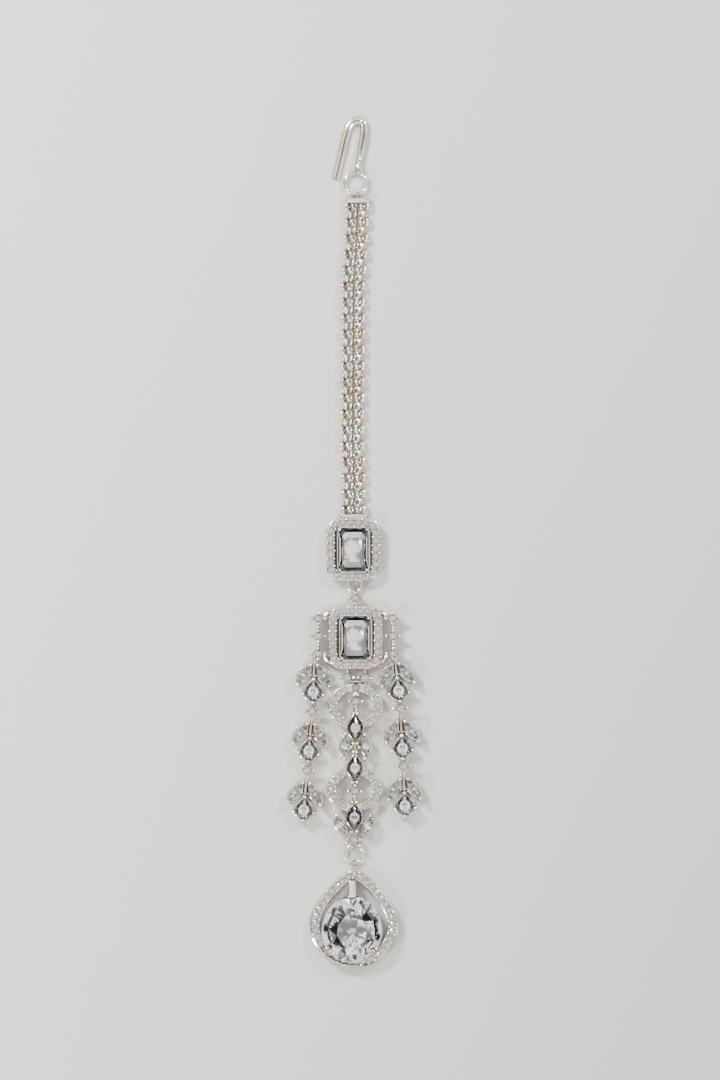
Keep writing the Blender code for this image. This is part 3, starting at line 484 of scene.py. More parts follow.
def wire(name, points, radius, sides=3, smooth=True):
    """A round wire drawn through a list of points."""
    fresh()
    curve = bpy.data.curves.new(name, "CURVE")
    curve.dimensions = "3D"
    curve.bevel_depth = radius
    curve.bevel_resolution = sides
    curve.use_fill_caps = True
    curve.resolution_u = 4
    spline = curve.splines.new("NURBS" if smooth else "POLY")
    spline.points.add(len(points) - 1)
    for point, place in zip(spline.points, points):
        point.co = (*place, 1.0)
    if smooth:
        spline.order_u = 3
        spline.use_endpoint_u = True
    obj = bpy.data.objects.new(name, curve)
    bpy.context.scene.collection.objects.link(obj)
    select_only(obj)
    bpy.ops.object.convert(target="MESH")
    bpy.ops.object.mode_set(mode="EDIT")
    bpy.ops.mesh.select_all(action="SELECT")
    bpy.ops.mesh.remove_doubles(threshold=0.002 * MM)
    bpy.ops.mesh.normals_make_consistent(inside=False)
    bpy.ops.object.mode_set(mode="OBJECT")
    return settle(bpy.context.object)


def ring_link(name, width, height_wire, long=1.0, around=20, sides=8):
    """One wire ring lying flat about the origin, stretched along Y by the given share."""
    fresh()
    bpy.ops.mesh.primitive_torus_add(major_segments=around, minor_segments=sides,
                                     major_radius=(width - height_wire) / 2.0,
                                     minor_radius=height_wire / 2.0)
    obj = active(name)
    bpy.ops.object.mode_set(mode="EDIT")
    bpy.ops.mesh.select_all(action="SELECT")
    bpy.ops.transform.resize(value=(1.0, long, 1.0))
    bpy.ops.object.mode_set(mode="OBJECT")
    return settle(obj)


def upright_eye(width, thickness, place, around=20, turn=0.0):
    """A wire eye that stands upright, its hole facing across the ornament."""
    eye = ring_link("eye", width, thickness, 1.0, around, 8)
    eye.data.transform(at(*place, turn) @ Matrix.Rotation(math.pi / 2.0, 4, "Y"))
    return eye


def bead_model(name, width, tall=0.8, segments=10, rings=6):
    """One bead: a ball pressed a little flat, about the origin."""
    fresh()
    bpy.ops.mesh.primitive_uv_sphere_add(segments=segments, ring_count=rings, radius=width / 2.0)
    obj = active(name)
    bpy.ops.object.mode_set(mode="EDIT")
    bpy.ops.mesh.select_all(action="SELECT")
    bpy.ops.transform.resize(value=(1.0, 1.0, tall))
    bpy.ops.object.mode_set(mode="OBJECT")
    return settle(obj)


def copies(model, matrices):
    """Copies of one model at many places, each with a mesh of its own; the model goes."""
    made = []
    for matrix in matrices:
        obj = model.copy()
        obj.data = model.data.copy()
        obj.data.transform(matrix)
        bpy.context.scene.collection.objects.link(obj)
        made.append(obj)
    bpy.data.objects.remove(model, do_unlink=True)
    return made


def join(name, objects):
    """Join objects into one piece."""
    fresh()
    for obj in objects:
        obj.select_set(True)
    bpy.context.view_layer.objects.active = objects[0]
    if len(objects) > 1:
        bpy.ops.object.join()
    return active(name)


def finish(obj, name, material, replaces=(), smooth=None):
    """Give a piece its name, material and place on the ornament."""
    obj.name = name
    obj.data.name = name
    obj.data.materials.clear()
    obj.data.materials.append(material)
    if smooth is not None:
        select_only(obj)
        bpy.ops.object.shade_smooth_by_angle(angle=math.radians(smooth))
    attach(obj, "root")
    if replaces:
        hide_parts(*replaces)
    return obj


def middle(node):
    """Middle of a CAD node's box, seen from above."""
    low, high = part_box(node)
    return Vector(((low[0] + high[0]) / 2.0, (low[1] + high[1]) / 2.0))


def at(x, y, z, angle=0.0):
    """A place, with a turn about the vertical."""
    return Matrix.Translation((x, y, z)) @ Matrix.Rotation(angle, 4, "Z")


class Unit:
    """A unit's own axes: where its origin lies and how far it is turned."""

    def __init__(self, origin, angle):
        self.origin = Vector(origin)
        self.angle = angle

    def place(self, x, y):
        """A point of the unit in the ornament's frame."""
        cosine, sine = math.cos(self.angle), math.sin(self.angle)
        return self.origin + Vector((x * cosine - y * sine, x * sine + y * cosine))

    def outline(self, outline):
        """An outline of the unit in the ornament's frame."""
        return moved(outline, self.origin.x, self.origin.y, self.angle)


# Stones and prongs that many pieces share

def round_stones(name, places, width, height, depth_share=0.26, facets=8):
    """Round brilliants at many places, joined into one piece."""
    outline = ellipse_outline(width / 2.0, width / 2.0, facets * 2)
    model = cut_stone(name + "_model", outline, 0.0, width * 0.26, width * 0.42 * depth_share, 0.5)
    turns = []
    for index, place in enumerate(places):
        turns.append(at(place[0], place[1], height, index * 0.7))
    return join(name, copies(model, turns))


def bead_field(name, places, width, height):
    """Beads at many places, joined into one piece."""
    model = bead_model(name + "_model", width)
    return join(name, copies(model, [at(place[0], place[1], height) for place in places]))


def small_seats(places):
    """Cups under the small round stones."""
    settings = stone_settings()
    radius = settings.small_width / 2.0
    fresh()
    bpy.ops.mesh.primitive_cylinder_add(vertices=20, radius=radius * 0.7, depth=1.1 * MM,
                                        location=(0.0, 0.0, 0.0))
    model = active("seat_model")
    bpy.ops.object.mode_set(mode="EDIT")
    bpy.ops.mesh.select_all(action="DESELECT")
    bpy.ops.object.mode_set(mode="OBJECT")
    for polygon in model.data.polygons:
        polygon.select = polygon.normal.z > 0.9
    bpy.ops.object.mode_set(mode="EDIT")
    bpy.ops.transform.resize(value=(1.35, 1.35, 1.0))
    bpy.ops.mesh.inset(thickness=0.12 * MM)
    bpy.ops.transform.translate(value=(0.0, 0.0, -0.35 * MM))
    bpy.ops.object.mode_set(mode="OBJECT")
    settle(model)
    return copies(model, [at(x, y, PLATE_TOP - 0.35 * MM) for x, y in places])


def small_prongs(places, axes=((1, 0), (-1, 0), (0, 1), (0, -1)), angle=0.0, reach=1.25 * MM):
    """Bead prongs round the small stones, with the short arms that carry them."""
    settings = stone_settings()
    pieces = []
    bead_places = []
    for x, y in places:
        for along_x, along_y in axes:
            far = reach if along_x else reach * 0.82
            turned = Vector((along_x, along_y)) * far
            turned.rotate(Matrix.Rotation(angle, 2))
            bead_places.append((x + turned.x, y + turned.y))
            start = (x + turned.x * 0.5, y + turned.y * 0.5, PLATE_TOP - 0.3 * MM)
            end = (x + turned.x, y + turned.y, PLATE_TOP + 0.05 * MM)
            pieces.append(wire("arm", [start, end], 0.2 * MM, 1, smooth=False))
    model = bead_model("prong_model", settings.prong, 0.9, 12, 8)
    pieces += copies(model, [at(a, b, PLATE_TOP + 0.22 * MM) for a, b in bead_places])
    return pieces


def add_operator(cls):
    """Remember an operator for registering."""
    OPERATORS.append(cls)
    return cls


OPERATORS = []


@add_operator
class TIKKA_OT_hook(bpy.types.Operator):
    """Crook of two wires, flared neck and ring"""
    bl_idname = "tikka.hook"
    bl_label = "Hook"

    route = [
        (0.00, 0.00), (0.06, 0.09), (0.15, 0.35), (0.25, 0.62), (0.27, 0.84), (0.19, 0.95),
        (0.02, 1.00), (-0.19, 0.97), (-0.37, 0.87), (-0.52, 0.70), (-0.65, 0.40),
        (-0.78, 0.09), (-1.00, -0.39),
    ]

    def execute(self, context):
        low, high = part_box("hook")
        wire_width = 0.82 * MM
        spread = 4.3 * MM
        length = 8.0 * MM
        ring_width = 4.8 * MM
        ring_wire = 0.58 * MM
        neck_x = high[0] - 0.27 * spread - wire_width * 0.94
        top = high[1] - wire_width * 0.94
        foot = top - length
        pieces = []
        count = len(self.route)
        for side in (-1.0, 1.0):
            points = []
            for index, (across, along) in enumerate(self.route):
                before = Vector(self.route[max(index - 1, 0)])
                after = Vector(self.route[min(index + 1, count - 1)])
                step = Vector(((after.x - before.x) * spread, (after.y - before.y) * length)).normalized()
                share = index / (count - 1)
                apart = side * wire_width * 0.46 * min(1.0, 0.35 + share * 5.0)
                height = 0.85 * MM + (wire_width / 2.0 - 0.85 * MM) * share
                points.append((neck_x + across * spread - step.y * apart,
                               foot + along * length + step.x * apart, height))
            pieces.append(wire("crook", points, wire_width * 0.47, 6))
        ring_low = low[1]
        ring_y = ring_low + ring_width / 2.0
        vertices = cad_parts["hook"].data.vertices
        xs = [v.co.x for v in vertices if v.co.y < ring_low + 1.2 * MM]
        ring_x = (min(xs) + max(xs)) / 2.0
        ring = ring_link("ring", ring_width, ring_wire, 1.0, 48, 14)
        ring.data.transform(at(ring_x, ring_y, 0.85 * MM))
        pieces.append(ring)
        neck_low = ring_y + ring_width / 2.0 - ring_wire * 0.8
        profile = [(0.6, -0.1), (0.86, 0.1), (0.88, 0.5), (0.7, 0.85), (0.74, 1.15),
                   (0.6, 1.7), (0.56, 2.4), (0.42, 2.7)]
        for (radius_a, along_a), (radius_b, along_b) in zip(profile, profile[1:]):
            fresh()
            bpy.ops.mesh.primitive_cone_add(vertices=20, radius1=radius_a * MM, radius2=radius_b * MM,
                                            depth=(along_b - along_a) * MM)
            neck = active("neck")
            neck_y = neck_low + (along_a + along_b) / 2.0 * MM
            neck.data.transform(Matrix.Translation((neck_x, neck_y, 0.96 * MM))
                                @ Matrix.Rotation(-math.pi / 2.0, 4, "X"))
            pieces.append(neck)
        piece = join("hook_wire", pieces)
        finish(piece, "hook_wire", metal_material("plated_wire", 0.7), ["hook"], 40.0)
        return {"FINISHED"}


@add_operator
class TIKKA_OT_chain(bpy.types.Operator):
    """Three strands of links set out by a repeat, with their end bar"""
    bl_idname = "tikka.chain"
    bl_label = "Woven chain"

    def execute(self, context):
        settings = context.scene.tikka_chain
        low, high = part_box("chain")
        line = self.route(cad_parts["chain"], low.y, high.y, settings.pitch)
        weave = [
            (-1.72, 0.00, 52.0, 8.0, 1.08), (1.78, 0.06, -52.0, -8.0, 1.08),
            (-0.50, 0.04, 44.0, 26.0, 1.0), (0.70, 0.50, -34.0, -14.0, 1.08),
            (0.92, 0.00, 56.0, 12.0, 0.86), (-1.50, 0.50, -58.0, 10.0, 0.9),
            (1.50, 0.53, 58.0, -10.0, 0.88), (-0.46, 0.54, -58.0, -14.0, 0.8),
        ]
        model = ring_link("link_model", 1.62 * MM, settings.wire, 1.22, 14, 6)
        count = round((high.y - low.y) / settings.pitch)
        pitch = (high.y - low.y - 0.7 * MM) / count
        matrices = []
        for row in range(count + 1):
            for across, phase, lean, turn, size in weave:
                y = low.y + 0.35 * MM + (row + phase) * pitch
                if y > high.y + 0.2 * MM:
                    continue
                place = Vector((self.drift(line, y) + across * MM, y, 0.86 * MM))
                matrices.append(Matrix.Translation(place) @ Matrix.Rotation(math.radians(turn), 4, "Z")
                                @ Matrix.Rotation(math.radians(lean), 4, "Y")
                                @ Matrix.Scale(size, 4))
        piece = join("chain_links", copies(model, matrices))
        finish(piece, "chain_links", metal_material("plated_links", 0.8, 0.08), ["chain"],
               60.0)
        low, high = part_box("chain_end_bar")
        bar_high = high[1] - 1.35 * MM
        outline = [(low[0], low[1]), (high[0], low[1]), (high[0], bar_high), (low[0], bar_high)]
        bar = outline_solid("bar", outline, 0.1 * MM, 1.7 * MM, edge=0.3 * MM, segments=3)
        eye_place = ((low[0] + high[0]) / 2.0, high[1] - 0.84 * MM, EYE_HEIGHT)
        eye = upright_eye(1.72 * MM, 0.36 * MM, eye_place)
        piece = join("chain_top_bar", [bar, eye])
        finish(piece, "chain_top_bar", metal_material("plated_bar", 0.5), ["chain_end_bar"],
               40.0)
        return {"FINISHED"}

    def route(self, chain, low, high, step):
        """Middle of the chain's width at even steps along its length."""
        rows = {}
        for vertex in chain.data.vertices:
            rows.setdefault(int((vertex.co.y - low) / (step * 1.2)), []).append(vertex.co)
        line = []
        for key in sorted(rows):
            xs = [co.x for co in rows[key]]
            line.append((low + (key + 0.5) * step * 1.2, (min(xs) + max(xs)) / 2.0))
        return line

    def drift(self, line, y):
        """The chain's middle at one place of its length."""
        for (y_a, x_a), (y_b, x_b) in zip(line, line[1:]):
            if y <= y_b:
                return x_a + (x_b - x_a) * max(0.0, (y - y_a) / (y_b - y_a))
        return line[-1][1]


def base_offset():
    """Shift from the layout's own middle, at the main stone, to the ornament's frame."""
    return middle("main_stone")


def hull(name, points):
    """A tight skin over a set of points, with flat facets."""
    fresh()
    rings = max(3, math.ceil(len(points) / 16) + 1)
    bpy.ops.mesh.primitive_uv_sphere_add(segments=16, ring_count=rings, radius=MM)
    obj = active(name)
    for index, vertex in enumerate(obj.data.vertices):
        vertex.co = points[min(index, len(points) - 1)]
    bpy.ops.object.mode_set(mode="EDIT")
    bpy.ops.mesh.select_all(action="SELECT")
    bpy.ops.mesh.remove_doubles(threshold=0.001 * MM)
    bpy.ops.mesh.select_all(action="SELECT")
    bpy.ops.mesh.convex_hull(delete_unused=True, use_existing_faces=False, make_holes=False,
                             join_triangles=True, face_threshold=math.radians(1.0),
                             shape_threshold=math.radians(60.0))
    bpy.ops.mesh.select_all(action="SELECT")
    bpy.ops.mesh.normals_make_consistent(inside=False)
    bpy.ops.object.mode_set(mode="OBJECT")
    select_only(obj)
    bpy.ops.object.shade_flat()
    return settle(obj)


def cut_stone(name, outline, girdle, crown, pavilion, table=0.58, star=0.8, facets=8):
    """A cut stone: table, star points, girdle and pavilion over an outline."""
    count = len(outline)
    centre = Vector((sum(p[0] for p in outline) / count, sum(p[1] for p in outline) / count))
    step = max(1, count // facets)
    points = []
    for index, corner in enumerate(outline):
        out = Vector(corner) - centre
        rows = [(1.0, girdle), (1.0, girdle + crown * 0.12)]
        if index % step == step // 2:
            rows.append((star, girdle + crown * 0.66))
        if index % step == 0:
            rows.append((table, girdle + crown))
            rows.append((0.6, girdle - pavilion * 0.3))
        for scale, height in rows:
            points.append((*(centre + out * scale), height))
    points.append((centre.x, centre.y, girdle - pavilion))
    return hull(name, points)


def step_stone(name, width, length, corner, girdle, crown, pavilion):
    """An oblong stone about the origin: stepped crown, four long facets meeting below."""
    points = []
    levels = [(0.0, 0.0), (0.0, 0.12), (0.1, 0.6), (0.28, 1.0)]
    outline = rectangle_outline(width, length, corner, 2)
    for inset, rise in levels:
        shrink = width * inset * 0.5
        for x, y in outline:
            share_x = 1.0 - shrink / (width / 2.0)
            share_y = 1.0 - shrink / (length / 2.0)
            points.append((x * share_x, y * share_y, girdle + crown * rise))
    for x, y in outline:
        points.append((x * 0.72, y * 0.8, girdle - pavilion * 0.18))
    points.append((0.0, 0.0, girdle - pavilion))
    return hull(name, points)


def pave_row(name, outline, height, spacing, free=None):
    """Pave stones along a line, and the beads between them: (stones, beads)."""
    settings = stone_settings()
    places = spaced(outline, spacing)
    if free:
        places = [spot for spot in places if free(spot[0])]
    stones = round_stones(name + "_stones", [tuple(p) for p, _ in places],
                          settings.pave_width, height)
    half = settings.pave_width * 0.46
    beads = []
    count = len(places)
    for index in range(count):
        here, next_place = places[index][0], places[(index + 1) % count][0]
        if (next_place - here).length > spacing * 1.5:
            continue
        mid = (here + next_place) / 2.0
        along = (next_place - here).normalized()
        across = Vector((along.y, -along.x))
        beads.append(tuple(mid + across * half))
        beads.append(tuple(mid - across * half))
    return stones, bead_field(name + "_beads", beads, settings.bead, height + 0.08 * MM)


def carve(wall, hole, edge):
    """Cut one solid out of another and round the edges."""
    apply_modifier(wall, "BOOLEAN", operation="DIFFERENCE", object=hole, solver="EXACT")
    bpy.data.objects.remove(hole, do_unlink=True)
    apply_modifier(wall, "BEVEL", width=edge, segments=2, limit_method="ANGLE",
                   angle_limit=math.radians(40.0))
    return wall


def bezel(name, outline, rim, bottom, top, edge=0.09 * MM):
    """A rim that holds a stone: a wall round its outline."""
    wall = outline_solid(name, grown(outline, rim, 2), bottom, top)
    hole = outline_solid(name + "_hole", grown(outline, -rim * 0.6, 2), top - 0.4 * MM, top + MM)
    return carve(wall, hole, edge)


def band(name, outer, inner, bottom, top, edge=0.12 * MM):
    """A closed band between two outlines, with rounded edges."""
    wall = outline_solid(name, outer, bottom, top)
    hole = outline_solid(name + "_hole", inner, bottom - MM, top + MM)
    return carve(wall, hole, edge)


def claw(points, radius):
    """A prong: a thick wire with a ball end bent over a stone."""
    end = points[-1]
    tip = bead_model("claw_tip", radius * 2.3, 0.9, 12, 8)
    tip.data.transform(Matrix.Translation(end))
    return [wire("claw", points, radius, 3, smooth=False), tip]


def strut(name, unit, start, end, height, radius):
    """A straight wire between two places of a unit, both given in millimetres."""
    line = [(*unit.place(x * MM, y * MM), height) for x, y in (start, end)]
    return wire(name, line, radius, 3, smooth=False)


def pave_material(name="pave_clear"):
    """Clear stone for the pave and the small round stones."""
    return stone_material(name, (0.97, 0.965, 0.98), 900.0)


def add_small_stones(pieces, stones, unit, places, axes):
    """Four-prong stones of one unit: cups, arms and beads to the metal, stones to the list."""
    turned = [tuple(unit.place(x, y)) for x, y in places]
    pieces += small_seats(turned)
    for spot, directions in zip(turned, axes):
        pieces += small_prongs([spot], directions, unit.angle)
    stones += turned


def small_stone_piece(name, places):
    """The round stones of a piece, a little larger than pave."""
    width = stone_settings().small_width
    piece = round_stones(name, places, width, PLATE_TOP + 0.1 * MM)
    return finish_stone(piece, name, pave_material("small_clear"))


SIDES = ((1, 0), (-1, 0))
CROSS = ((1, 0), (-1, 0), (0, 1), (0, -1))


@add_operator
class TIKKA_OT_plaques(bpy.types.Operator):
    """The two plaques with halo, bezel, stones and prongs"""
    bl_idname = "tikka.plaques"
    bl_label = "Plaques"

    def execute(self, context):
        for label in ("upper", "main"):
            centre = middle(label + "_stone")
            unit = Unit(centre, 0.0)
            outer = unit.outline(rectangle_outline(*PLAQUE_HALO))
            opening = unit.outline(rectangle_outline(*PLAQUE_OPENING))
            track = unit.outline(rectangle_outline(*PLAQUE_TRACK))
            stone_line = unit.outline(rectangle_outline(*PLAQUE_SEAT))
            pieces = [band("halo", outer, opening, 0.9 * MM, PLATE_TOP)]
            pieces.append(band("gallery", unit.outline(rectangle_outline(*PLAQUE_GALLERY)),
                               opening, 0.0, 0.95 * MM))
            pieces.append(bezel("seat", stone_line, 0.22 * MM, 0.3 * MM, 2.75 * MM))
            stones, beads = pave_row(label + "_pave", track, PAVE_HEIGHT, 1.48 * MM)
            pieces.append(beads)
            for x in (-1.0, 1.0):
                for y in (-1.0, 1.0):
                    start = unit.place(x * 3.3 * MM, y * 4.55 * MM)
                    mid = unit.place(x * 2.95 * MM, y * 4.15 * MM)
                    end = unit.place(x * 2.5 * MM, y * 3.75 * MM)
                    pieces += claw([(*start, 1.6 * MM), (*mid, 3.05 * MM), (*end, 3.25 * MM)], 0.2 * MM)
            spots = []
            if label == "upper":
                low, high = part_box("upper_plaque")
                bar = outline_solid("bar", [(centre.x - 2.45 * MM, high[1] - 1.15 * MM),
                                            (centre.x + 2.45 * MM, high[1] - 1.15 * MM),
                                            (centre.x + 2.45 * MM, high[1]),
                                            (centre.x - 2.45 * MM, high[1])],
                                    0.1 * MM, 1.75 * MM, edge=0.3 * MM, segments=3)
                pieces.append(bar)
                link_place = (centre.x + 0.1 * MM, low[1] + 0.92 * MM, 0.98 * MM)
                pieces.append(upright_eye(1.9 * MM, 0.5 * MM, link_place))
            else:
                add_small_stones(pieces, spots, unit, [(0.0, 7.6 * MM)], [CROSS])
                pieces.append(strut("neck", unit, (0.0, 7.0), (0.0, 5.5), 1.2 * MM, 0.4 * MM))
                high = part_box("main_plaque")[1]
                link_place = (centre.x - 0.15 * MM, high[1] - 0.86 * MM, 0.92 * MM)
                pieces.append(upright_eye(1.7 * MM, 0.45 * MM, link_place))
                for side in (-1.0, 1.0):
                    self.column(unit, side, pieces, spots)
                    pieces.append(strut("post", unit, (side * 1.68, -5.4), (side * 1.68, -7.2),
                                        1.5 * MM, 0.36 * MM))
                small_stone_piece("main_side_stones", spots)
            plaque = join(label + "_plaque_setting", pieces)
            finish(plaque, label + "_plaque_setting", metal_material("plated_plaque", 1.0),
                   [label + "_plaque"], 40.0)
            finish_stone(stones, label + "_pave_stones", pave_material())
            gem = step_stone(label + "_oblong", 5.8 * MM, 8.3 * MM, 0.9 * MM, 2.75 * MM, 1.1 * MM, 0.9 * MM)
            gem.data.transform(at(centre.x, centre.y, 0.0))
            finish_stone(gem, label + "_oblong_stone", stone_material("oblong_clear"),
                         [label + "_stone"])
        return {"FINISHED"}

    def column(self, unit, side, pieces, spots):
        """Three small stones beside the plaque with the two arms that carry them."""
        places = []
        for step in (1, 0, -1):
            places.append((side * (7.1 - step * 3.35 * 0.02) * MM, (step * 3.35 + 0.35) * MM))
        add_small_stones(pieces, spots, unit, places, [CROSS, CROSS, CROSS])
        arms = []
        for x, y in (places[0], places[2]):
            towards = math.copysign(1.0, y)
            arm = [(x, y), (x - side * 1.2 * MM, y + towards * 0.3 * MM),
                   (side * 5.0 * MM, towards * 5.0 * MM), (side * 4.2 * MM, towards * 4.6 * MM)]
            arms.append(wire("arm", [(*unit.place(a, b), 1.3 * MM) for a, b in arm], 0.5 * MM, 3))
        label = "plaque_arms_left" if side < 0.0 else "plaque_arms_right"
        finish(join(label, arms), label, metal_material("plated_warm", 1.0),
               smooth=40.0)
        for (x_a, y_a), (x_b, y_b) in zip(places, places[1:]):
            spot = unit.place((x_a + x_b) / 2.0, (y_a + y_b) / 2.0)
            bead = bead_model("bead", 0.8 * MM, 0.85, 12, 8)
            bead.data.transform(at(spot.x, spot.y, 2.1 * MM))
            pieces.append(bead)
        spine = [unit.place(*places[0]), unit.place(*places[2])]
        pieces.append(wire("spine", [(*p, 1.3 * MM) for p in spine], 0.42 * MM, 3, smooth=False))


@add_operator
class TIKKA_OT_rings(bpy.types.Operator):
    """Jump rings between the units"""
    bl_idname = "tikka.rings"
    bl_label = "Jump rings"

    def execute(self, context):
        names = ["plaque_ring", "drop_ring"]
        for side in ("left", "right"):
            names += ["strand_ring_" + side + "_" + str(number) for number in (1, 2)]
        for name in names:
            low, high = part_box(name)
            size = high - low
            ring = ring_link(name, size.x, size.z, size.y / size.x, 40, 12)
            ring.data.transform(at((low.x + high.x) / 2.0, (low.y + high.y) / 2.0,
                                   (low.z + high.z) / 2.0))
            finish(ring, name + "_wire", metal_material("plated_ring", 0.3), [name],
                   60.0)
        return {"FINISHED"}


@add_operator
class TIKKA_OT_flowers(bpy.types.Operator):
    """Six flower units of two leaves and a pear, with the small stones between"""
    bl_idname = "tikka.flowers"
    bl_label = "Flowers"

    def execute(self, context):
        all_spots = []
        for name in FLOWERS:
            left, right = middle(name + "_leaf_left"), middle(name + "_leaf_right")
            axis = right - left
            angle = math.atan2(axis.y, axis.x)
            centre = (left + right) / 2.0
            origin = Unit(centre, angle).place(0.0, 2.0 * MM)
            unit = Unit(origin, angle)
            pieces = []
            spots = []
            for side, label in ((-1.0, "left"), (1.0, "right")):
                tilt = side * math.radians(32.0)
                leaf = moved(marquise_outline(2.0 * MM, 4.1 * MM, 20), side * 1.95 * MM, -2.0 * MM, tilt)
                leaf = unit.outline(leaf)
                pieces.append(bezel("leaf_seat", leaf, SEAT_RIM, SEAT_FOOT, SEAT_TOP, SEAT_EDGE))
                inner = grown(leaf, 0.06 * MM, 2)
                gem = cut_stone("leaf", inner, GIRDLE, 0.75 * MM, 0.42 * MM, 0.6, 0.84, 10)
                finish_stone(gem, name + "_leaf_" + label + "_gem", stone_material("leaf_clear"),
                             [name + "_leaf_" + label])
            pear = moved(pear_outline(3.25 * MM, 3.9 * MM, 24), 0.0, -3.0 * MM)
            pear = unit.outline(pear)
            pieces.append(bezel("pear_seat", pear, SEAT_RIM, SEAT_FOOT, SEAT_TOP, SEAT_EDGE))
            gem = cut_stone("pear", grown(pear, 0.06 * MM, 2), GIRDLE, 0.8 * MM, 0.5 * MM, 0.6, 0.84, 12)
            finish_stone(gem, name + "_pear_gem", stone_material("leaf_clear"), [name + "_pear"])
            beads = [(-0.7, -0.1), (0.7, -0.1), (-3.05, -3.95), (3.05, -3.95), (0.0, -2.75),
                     (-1.95, -5.7), (1.95, -5.7), (0.0, -7.2)]
            places = [unit.place(x * MM, y * MM) for x, y in beads]
            model = bead_model("bead", BEAD_WIDTH, 0.85, 12, 8)
            pieces += copies(model, [at(p.x, p.y, 2.5 * MM) for p in places])
            for place, (x, y) in zip(places, beads):
                root = unit.place(x * 0.8 * MM, (y * 0.86 - 0.4) * MM)
                pieces.append(wire("stem", [(*root, 1.0 * MM), (place.x, place.y, 2.4 * MM)],
                                   0.2 * MM, 2, smooth=False))
            pieces.append(strut("spine", unit, (0.0, 0.6), (0.0, -3.6), 1.15 * MM, 0.42 * MM))
            pieces.append(strut("bar", unit, (-2.2, -2.1), (2.2, -2.1), 1.0 * MM, 0.4 * MM))
            if not name.endswith("1"):
                add_small_stones(pieces, spots, unit, [(0.0, 2.35 * MM)], [SIDES])
                pieces.append(strut("neck", unit, (0.0, 1.9), (0.0, 0.2), 1.5 * MM, 0.34 * MM))
                all_spots += spots
            else:
                pieces.append(strut("neck", unit, (0.0, 1.4), (0.0, 0.0), 1.5 * MM, 0.4 * MM))
            low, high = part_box(name)
            if not name.endswith("3"):
                pieces.append(self.eye(unit, 0.0, -7.35 * MM))
            if not name.endswith("1"):
                pieces.append(self.eye(unit, 0.0, 3.8 * MM))
            setting = join(name + "_setting", pieces)
            finish(setting, name + "_setting", metal_material("plated_flower", 0.9), [name],
                   40.0)
        small_stone_piece("strand_stones", all_spots)
        return {"FINISHED"}

    def eye(self, unit, x, y):
        """A small upright loop."""
        return upright_eye(1.3 * MM, 0.3 * MM, (*unit.place(x, y), EYE_HEIGHT), 16, unit.angle)


